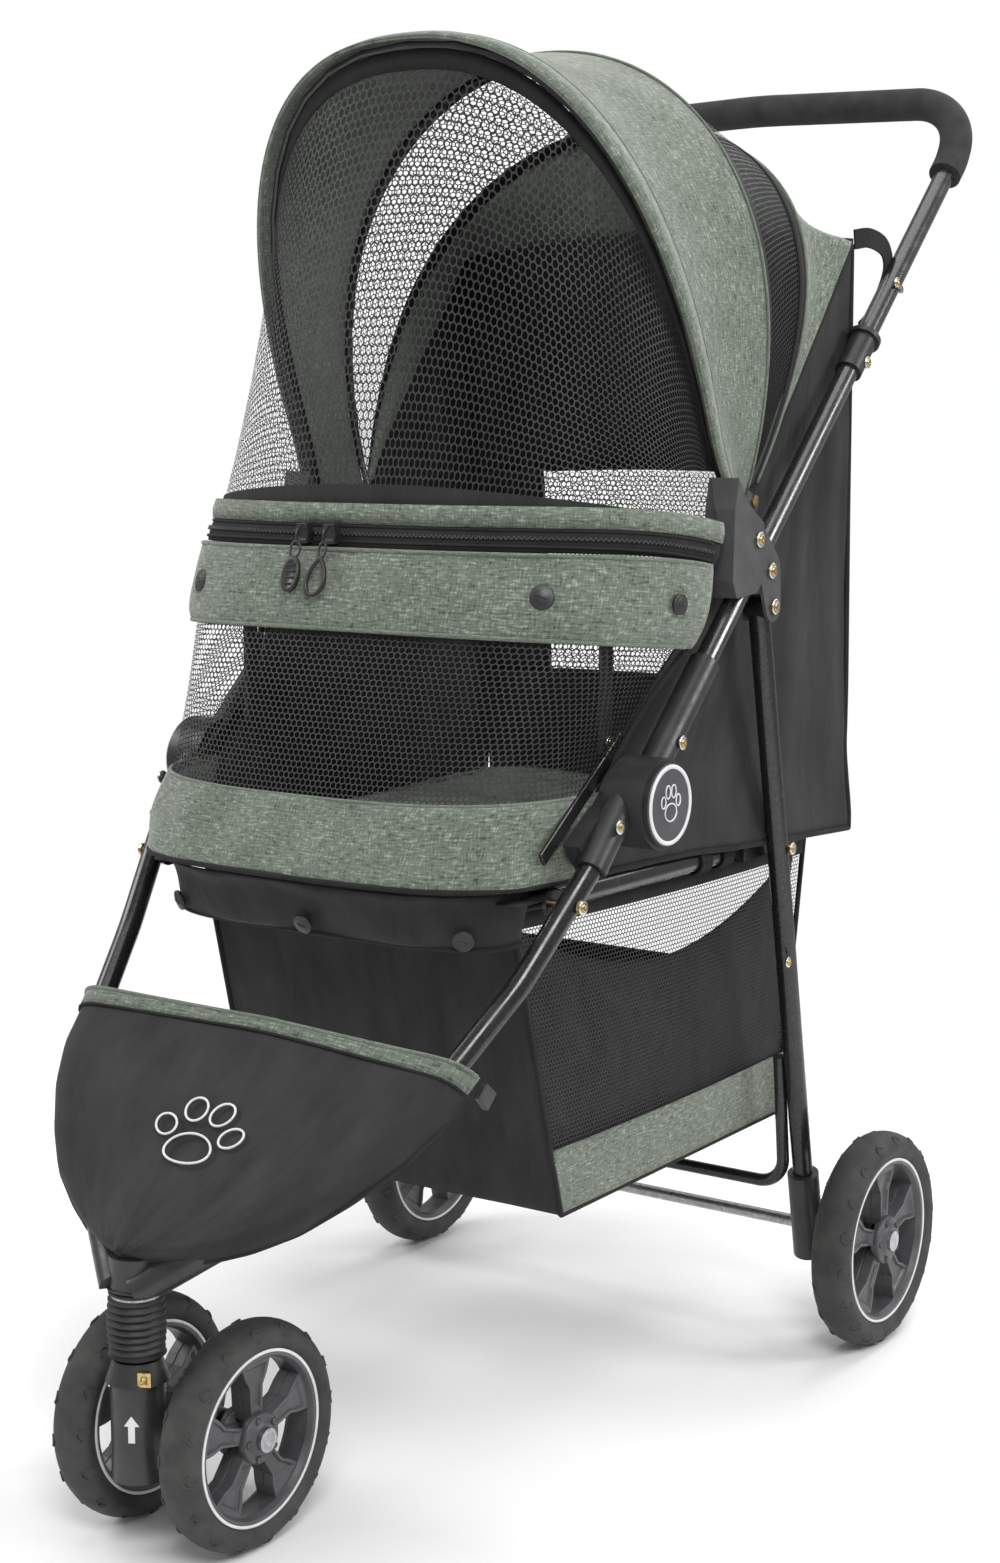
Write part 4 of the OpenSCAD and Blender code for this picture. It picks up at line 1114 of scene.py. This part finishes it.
# ---------------------------------------------------------------- apron
# the middle of the apron's top edge, its own two directions, and its half widths against the depth below it
APRON_O = np.array([0.0, -258, 319])
APRON_UP = unit(np.array([0, 1, 0.92]))
APRON_OUT = unit(np.array([0, -0.92, 1]))
APRON_HALF = ((173, 6), (165, -37), (152, -68), (129, -103), (104, -132), (78, -152), (48, -170), (24, -180),
              (1, -186))


def build_apron():
    depths = [d for _, d in APRON_HALF][::-1]
    widths = [w for w, _ in APRON_HALF][::-1]
    rows = []
    for d in np.linspace(6, -186, 30):
        half = max(1.0, float(np.interp(d, depths, widths)))
        row = []
        for u in np.linspace(-1, 1, 60):
            x = -half * u
            wrap = 12.8 - 14 * abs(u) ** 26 - 3.5 * (1 - u * u) * max(0, 1 + d / 150)
            crown = 12 * math.exp(-((x / 44) ** 2)) * max(0, min(1, (-d - 104) / 62))
            slip = 9 * max(0, -u) * (1 + d / 186)
            row.append(APRON_O + APRON_UP * (d - slip) + APRON_OUT * (wrap + crown) + np.array([x, 0, 0]))
        rows.append(row)
    surface = Surface(rows, across=60, along=100)
    cloth = patch("front_apron", surface, "black_cloth", "front_frame", folds=(70, 2.2, 90),
                  outward=-1, step=5, sheet=("stretched", ["front_leg_left", "front_leg_right"]))
    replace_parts(cloth, "apron")
    patch("apron_top_band", surface, "sage", "front_frame", s=(0.0, 0.052), lift=1.6, thick=1.4,
          outward=-1, step=4, sheet=("stretched", ["front_apron"]))
    edge = np.vstack([surface.at(np.linspace(0.03, 1, 50), 0.0), surface.at(1.0, np.linspace(0.1, 0.9, 6)),
                      surface.at(np.linspace(1, 0.03, 50), 1.0)])
    tube("apron_binding", edge, 1.7, "trim", "front_frame", 220)
    across = np.linspace(0.005, 0.995, 40)
    tube("apron_top_piping", surface.over(0.003, across, -2), 1.5, "sage", "front_frame", 90)
    tube("apron_band_edge", surface.over(0.055, across, -1.5), 1.2, "trim", "front_frame", 90)
    tabs = Pile()
    for side in SIDES.values():
        corner = surface.at(0.02, 0.5 - side * 0.5)
        tabs.prism([(-4, -7), (10, -7), (10, 5), (-4, 7)],
                   lambda a, b, h, c=corner, k=side: c + np.array([k * (3 + h), 0, 0]) + APRON_UP * b
                   + APRON_OUT * (a - 14), -2, 3)
    tabs.piece("apron_hooks", "plastic", "front_frame", smooth=False, bevel=0.8)
    paw(surface, "front_frame", "apron_paw", (0.5, 0.5), 34)


def paw(surface, body, name, at, size):
    """A plain paw print in pale thread: four toes and a heel, each a closed cord on the cloth."""
    pile = Pile()
    pads = [(0, -0.42, 0.52, 0.42, 0), (-0.72, 0.18, 0.2, 0.29, 28), (-0.27, 0.62, 0.21, 0.31, 10),
            (0.27, 0.62, 0.21, 0.31, -10), (0.72, 0.18, 0.2, 0.29, -28)]
    for cx, cy, rx, ry, turn in pads:
        turn = math.radians(turn)
        ring = []
        for a in closed_turn(25):
            px, py = rx * math.cos(a), ry * math.sin(a)
            x = (cx + px * math.cos(turn) - py * math.sin(turn)) * size
            y = (cy + px * math.sin(turn) + py * math.cos(turn)) * size
            s, t = at[0] - y / surface.depth, at[1] - x / surface.length
            ring.append(surface.over(s, t, -3.2))
        pile.line(ring, 0.9, 6, 50)
    pile.piece(name, "white", body)


# ---------------------------------------------------------------- wheels and caster
def tyre_profile(d, w, rim_d):
    """(across, radius) pairs round a fat tyre with rounded shoulders."""
    tread = d / 2
    shoulder = w * 0.34
    points = [(-w * 0.36, rim_d / 2 - 1), (-w * 0.44, rim_d / 2 + 2), (-w * 0.5, tread - shoulder * 1.1)]
    for a in np.radians(np.linspace(-78, 78, 13)):
        points.append((w * 0.5 * math.sin(a), tread - shoulder + shoulder * math.cos(a)))
    return points + [(w * 0.5, tread - shoulder * 1.1), (w * 0.44, rim_d / 2 + 2), (w * 0.36, rim_d / 2 - 1)]


def build_wheel(kind, name, side, centre, d, w, rim_d, hub_d, marks):
    """A wheel, front or rear, on one side: its tyre, spoked rim, hub and white stripe."""
    body = f"{kind}_wheel_{name}"
    centre = np.array([side * centre[0], centre[1], centre[2]])
    axle = np.array([side, 0, 0])
    place = lambda a, b, h: centre + axle * h + np.array([0, a, b])
    tyre = Pile()
    tyre.revolve(tyre_profile(d, w, rim_d), centre, axle, 96, closed=True)
    shoulder = d / 2 - w * 0.17
    for k in range(marks):
        turn = 2 * math.pi * k / marks
        for face in (1, -1):
            hook = []
            for da, dr, dx in ((0.0, 1.0, 0.40), (0.055, 3.2, 0.325), (0.10, 2.4, 0.37), (0.115, -2.0, 0.455),
                               (0.085, -4.5, 0.482), (0.06, -3.2, 0.476)):
                a, r = turn + face * da, shoulder + dr
                hook.append(place(r * math.cos(a), r * math.sin(a), face * w * dx))
            tyre.line(hook, 0.9, 5, 14)
    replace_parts(tyre.piece(f"{kind}_tyre_tread_{name}", "tyre", body), f"{kind}_tyre_{name}")

    rim = Pile()
    inner = rim_d / 2 - 7
    half = w * 0.39
    rim.revolve([(-half, rim_d / 2 - 0.5), (half, rim_d / 2 - 0.5), (half, inner + 2), (half - 4, inner),
                 (-half + 4, inner), (-half, inner + 2)], centre, axle, 96, closed=True)
    spoke = hub_d * 0.17
    outline = [(hub_d * 0.32, -spoke * 0.9), (inner * 0.66, -spoke * 1.15), (inner * 0.8, -spoke * 1.9),
               (inner + 2, -spoke * 2.7), (inner + 2, spoke * 2.7), (inner * 0.8, spoke * 1.9),
               (inner * 0.66, spoke * 1.15), (hub_d * 0.32, spoke * 0.9)]
    for k in range(SPOKES):
        a0 = 2 * math.pi * (k + 0.25) / SPOKES
        turned = lambda a, b, h, c=math.cos(a0), s=math.sin(a0): place(a * c - b * s, a * s + b * c, h)
        for face in (1, -1):
            flip = lambda a, b, h, f=face, g=turned: g(a, b, f * h)
            rim.prism(outline, flip, 0, w * 0.27, rim=0.3, sink=2.2)
    rim = rim.piece(f"{kind}_rim_spokes_{name}", "rim", body, smooth=False, bevel=0.7)
    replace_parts(rim, f"{kind}_rim_{name}")

    hub = Pile()
    for face in (1, -1):
        cap = [(w * 0.2, hub_d * 0.5), (w * 0.38, hub_d * 0.5), (w * 0.41, hub_d * 0.46),
               (w * 0.41, hub_d * 0.34), (w * 0.45, hub_d * 0.32), (w * 0.47, hub_d * 0.26), (w * 0.47, 6.2)]
        hub.revolve([(face * h, r) for h, r in cap], centre, axle, 48)
        for k in range(SPOKES):
            a = 2 * math.pi * (k + 0.5) / SPOKES
            spot = place(hub_d * 0.41 * math.cos(a), hub_d * 0.41 * math.sin(a), face * w * 0.4)
            hub.revolve([(0, 2.5), (face * 1.6, 2.5), (face * 2.0, 1.9), (face * 1.2, 1.2)], spot, axle, 6)
    hub.piece(f"{kind}_hub_{name}", "rim", body)
    ring = Pile()
    for face in (1, -1):
        h = face * (half + 0.5)
        ring.revolve([(h, rim_d / 2 - 0.6), (h, rim_d / 2 - 2.6), (h - face * 1.2, rim_d / 2 - 2.6),
                      (h - face * 1.2, rim_d / 2 - 0.6)], centre, axle, 96, closed=True)
    ring.piece(f"{kind}_rim_stripe_{name}", "white", body)


def build_caster():
    """The fork's ribbed boot, nut and arrow."""
    boot = Pile()
    profile = [(-62, 15.5), (-61, 19.0)]
    for k in range(9):
        base = -59 + k * 4.7
        reach = 19.6 - 1.8 * abs(k - 3.5) / 4.5
        profile += [(base, 15.6), (base + 1.2, reach), (base + 2.4, reach), (base + 3.8, 15.4)]
    profile += [(-17.5, 14.6), (-17, 18.5), (-16.2, 18.5), (-15.5, 14)]
    boot.revolve(profile, (0, STEM_Y, 200), (0, 0, 1), 48)
    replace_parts(boot.piece("boot_ribs", "rubber", "caster"), "spring_boot")
    nuts = Pile()
    nuts.prism([(-5, -5), (5, -5), (5, 5), (-5, 5)],
               lambda a, b, h: np.array([14 + h * 0.75, STEM_Y - 10 - h * 0.65 + a * 0.4, 128 + b])
               + np.array([a * 0.8, 0, 0]), 0, 4.5, rim=0.5, sink=1.5)
    nuts.piece("fork_nut", "brass", "fork", smooth=False, bevel=0.5)
    arrow = Pile()
    shape = [(-2.2, -9), (2.2, -9), (2.2, 2), (5, 2), (0, 9), (-5, 2), (-2.2, 2)]
    facing = math.radians(-62)
    radial = np.array([math.cos(facing), math.sin(facing), 0])
    across = np.array([-math.sin(facing), math.cos(facing), 0])
    arrow.prism(shape, lambda a, b, h: np.array([0, STEM_Y, 94]) + radial * (math.sqrt(18.1**2 - a * a) + h)
                + across * a + np.array([0, 0, b]), 0, 0.3)
    arrow.piece("fork_arrow", "white", "fork", smooth=False)


# ---------------------------------------------------------------- rivets, badges, studs, zip pulls and bars
def rivet(rings, heads, centre, side, radius=5.2):
    """A turned brass head in a pale washer, facing sideways."""
    axis = (side, 0, 0)
    washer = [(-0.2, radius), (0.9, radius), (1.3, radius * 0.9), (1.3, radius * 0.62)]
    rings.revolve(washer, centre, axis, 30)
    heads.revolve([(1.0, radius * 0.66), (2.0, radius * 0.6), (2.5, radius * 0.42), (2.1, radius * 0.2),
                   (1.7, 0.1)], centre, axis, 24)


def build_rivets():
    """Brass heads in pale washers over the CAD shanks, on both sides."""
    sets = {
        "upper_frame": [((205.6, 42, 646), 5.6), ((205.6, 61, 623), 5.6), ((205.6, 66, 597), 5.6),
                        ((204.2, -62, 512), 5.0), ((202.6, 212, 773), 4.6), ((200.4, 264, 835), 4.0)],
        "front_frame": [((202.2, -139, 464), 5.0), ((193.8, -171, 414), 5.0)],
        "rear_frame": [((193.5, 122, 411), 4.6), ((188.6, 127, 322), 4.0)],
        "front_rail": [((161, -87, 512), 4.4)],
    }
    for body, spots in sets.items():
        rings, heads = Pile(), Pile()
        for side in SIDES.values():
            for (x, y, z), radius in spots:
                rivet(rings, heads, (side * x, y, z), side, radius)
        rings.piece(f"rivet_washers_{body}", "silver", body)
        heads.piece(f"rivet_heads_{body}", "brass", body)


def build_badges():
    """The round badges on the fold housings, with a plain paw."""
    for name, side in SIDES.items():
        centre = np.array([side * 213.2, -94, 474])
        axis = (side, 0, 0)
        disc, ring = Pile(), Pile()
        disc.revolve([(-1.5, 28), (0.2, 28), (0.8, 27.3), (1.0, 24), (1.0, 0.1)], centre, axis, 64)
        disc.piece(f"badge_{name}", "rim", "upper_frame", slot="black_plastic")
        ring.revolve([(0.4, 27.4), (1.7, 27.2), (1.7, 24.6), (0.4, 24.4)], centre, axis, 64, closed=True)
        mark = [(0, -5, 7.5, 6), (-9.5, 2.5, 2.8, 4), (-3.6, 9, 3, 4.4), (3.6, 9, 3, 4.4), (9.5, 2.5, 2.8, 4)]
        for cy, cz, ry, rz in mark:
            oval = [centre + np.array([side * 1.4, cy + ry * math.cos(a), cz + rz * math.sin(a)])
                    for a in closed_turn(19)]
            ring.line(oval, 0.6, 5, 36)
        ring.piece(f"badge_ring_{name}", "white", "upper_frame")


def build_flap_studs(front):
    """Four press studs on the flap."""
    studs = Pile()
    for t, size in ((0.247, 8.5), (0.075, 7.5)):
        for at in (t, 1 - t):
            out = front.normal(0.87, at)
            snap(studs, front.at(0.87, at) + out * 7.4, out, size)
    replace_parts(studs.piece("flap_studs", "plastic", "front_rail"), "flap_snaps")


def build_zip_pulls():
    """Two sliders on the zip, one with an oval tab and one with a strap loop, hung from the cross pins."""
    lean = math.radians(17)
    slider = Pile()
    for x in PULLS:
        slider.prism([(-5, -7), (5, -7), (6, 0), (4.5, 7), (-4.5, 7), (-6, 0)],
                     lambda a, b, h, x=x: np.array([x + a, -157 - h, 652 + b]), 0, 7, rim=0.35, sink=1.2)
        slider.line([(x, -164, 657), (x, -168.6, 654), (x, -169.4, 648), (x, -167, 643)], 1.1, 6, 16)
    slider.piece("zip_slider_bodies", "plastic", "front_rail", smooth=False, bevel=0.5)

    def hung(x, drop, out=0.0):
        y, z = PULL_AXIS
        return np.array([x, y - 2.5 - drop * math.sin(lean) - out * math.cos(lean),
                         z - drop * math.cos(lean) + out * math.sin(lean)])

    def eye(x, half):
        """The ring of wire round a cross pin."""
        return [hung(x + half * math.cos(a), 4 + 6 * math.sin(a)) for a in closed_turn(17)]

    tab = Pile()
    x = PULLS[1]
    tab.line(eye(x, 4.2), 0.9, 6, 40)
    oval = [(7.2 * math.cos(a), 13 * math.sin(a)) for a in round_angles(28)]
    tab.prism(oval, lambda a, b, h: hung(x + a, 22 + b, h), -1.4, 1.6, rim=0.22, sink=0.7)
    for k in range(4):
        tab.line([hung(x - 3, 15.5 + k * 4.4, 1.4), hung(x + 3, 15.5 + k * 4.4, 1.4)], 0.6, 6, 6)
    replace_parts(tab.piece("zip_tab_oval", "plastic", "zip_pull_right"), "zip_pull_right")

    loop = Pile()
    x = PULLS[0]
    loop.line(eye(x, 3), 0.9, 6, 40)
    path = ((0, 9), (5, 18), (6, 28), (1, 35), (-6, 35), (-9, 27), (-6, 17), (0, 9))
    loop.line([hung(x + a, b, 0.5) for a, b in path], 1.7, 8, 60)
    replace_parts(loop.piece("zip_loop", "plastic", "zip_pull_left"), "zip_pull_left")


def build_link_bars():
    """The flat bars from the rail's uprights down to the cabin's front corners, and the side tube loops."""
    bars, loops = Pile(), Pile()
    for side in SIDES.values():
        a, b = np.array([side * 167, -87, 512.0]), np.array([side * 168, -178, 448.0])
        along = unit(b - a)
        up = unit(np.cross(along, [side, 0, 0]))
        bars.prism([(-6, -5), (np.linalg.norm(b - a) + 6, -5), (np.linalg.norm(b - a) + 6, 5), (-6, 5)],
                   lambda p, q, h, a=a, along=along, up=up, side=side: a + along * p + up * q
                   + np.array([side * h, 0, 0]), 0, 2.5)
        for y in (34, 66):
            loop = [(side * 161 + side * 9.6 * math.cos(t), y, 411.5 + 9.6 * math.sin(t))
                    for t in closed_turn(17)]
            loops.line(loop, 1.4, 6, 40)
            for offset in (-6, -3, 3, 6):
                loops.line([(px, py + offset, pz) for px, py, pz in loop], 1.4, 6, 40)
    bars.piece("front_link_bars", "dark_tube", "upper_frame", smooth=False, bevel=0.6)
    loops.piece("side_tube_loops", "trim", "side_link")


# ---------------------------------------------------------------- cloth pieces matched by name, each given a mesh of its own (nothing is folded)
# how the pieces' names begin: (the height that stays in place, the share of their height left when folded)
CRUMPLED = {
    ("basket_",): (404, 0.16),
    ("cabin_side_", "cabin_rear_"): (866, 0.55),
    ("front_net", "front_lip", "front_edge", "front_skirt", "skirt_snaps"): (643, 0.5),
}


def crumple_cloth():
    nodes = set(frame["nodes"])
    for words, (height, keep) in CRUMPLED.items():
        for piece in list(bpy.data.objects):
            if piece.type == "MESH" and piece.name.startswith(words) and piece.name not in nodes:
                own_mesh(piece)


set_stage()
build_canopy()
cabin_front_surface = build_front()
build_cabin()
build_pad()
build_basket()
build_apron()
for wheel_name, wheel_side in SIDES.items():
    for wheel_kind, sizes in WHEELS.items():
        build_wheel(wheel_kind, wheel_name, wheel_side, **sizes)
build_caster()
build_rivets()
build_badges()
build_flap_studs(cabin_front_surface)
build_zip_pulls()
build_link_bars()
crumple_cloth()
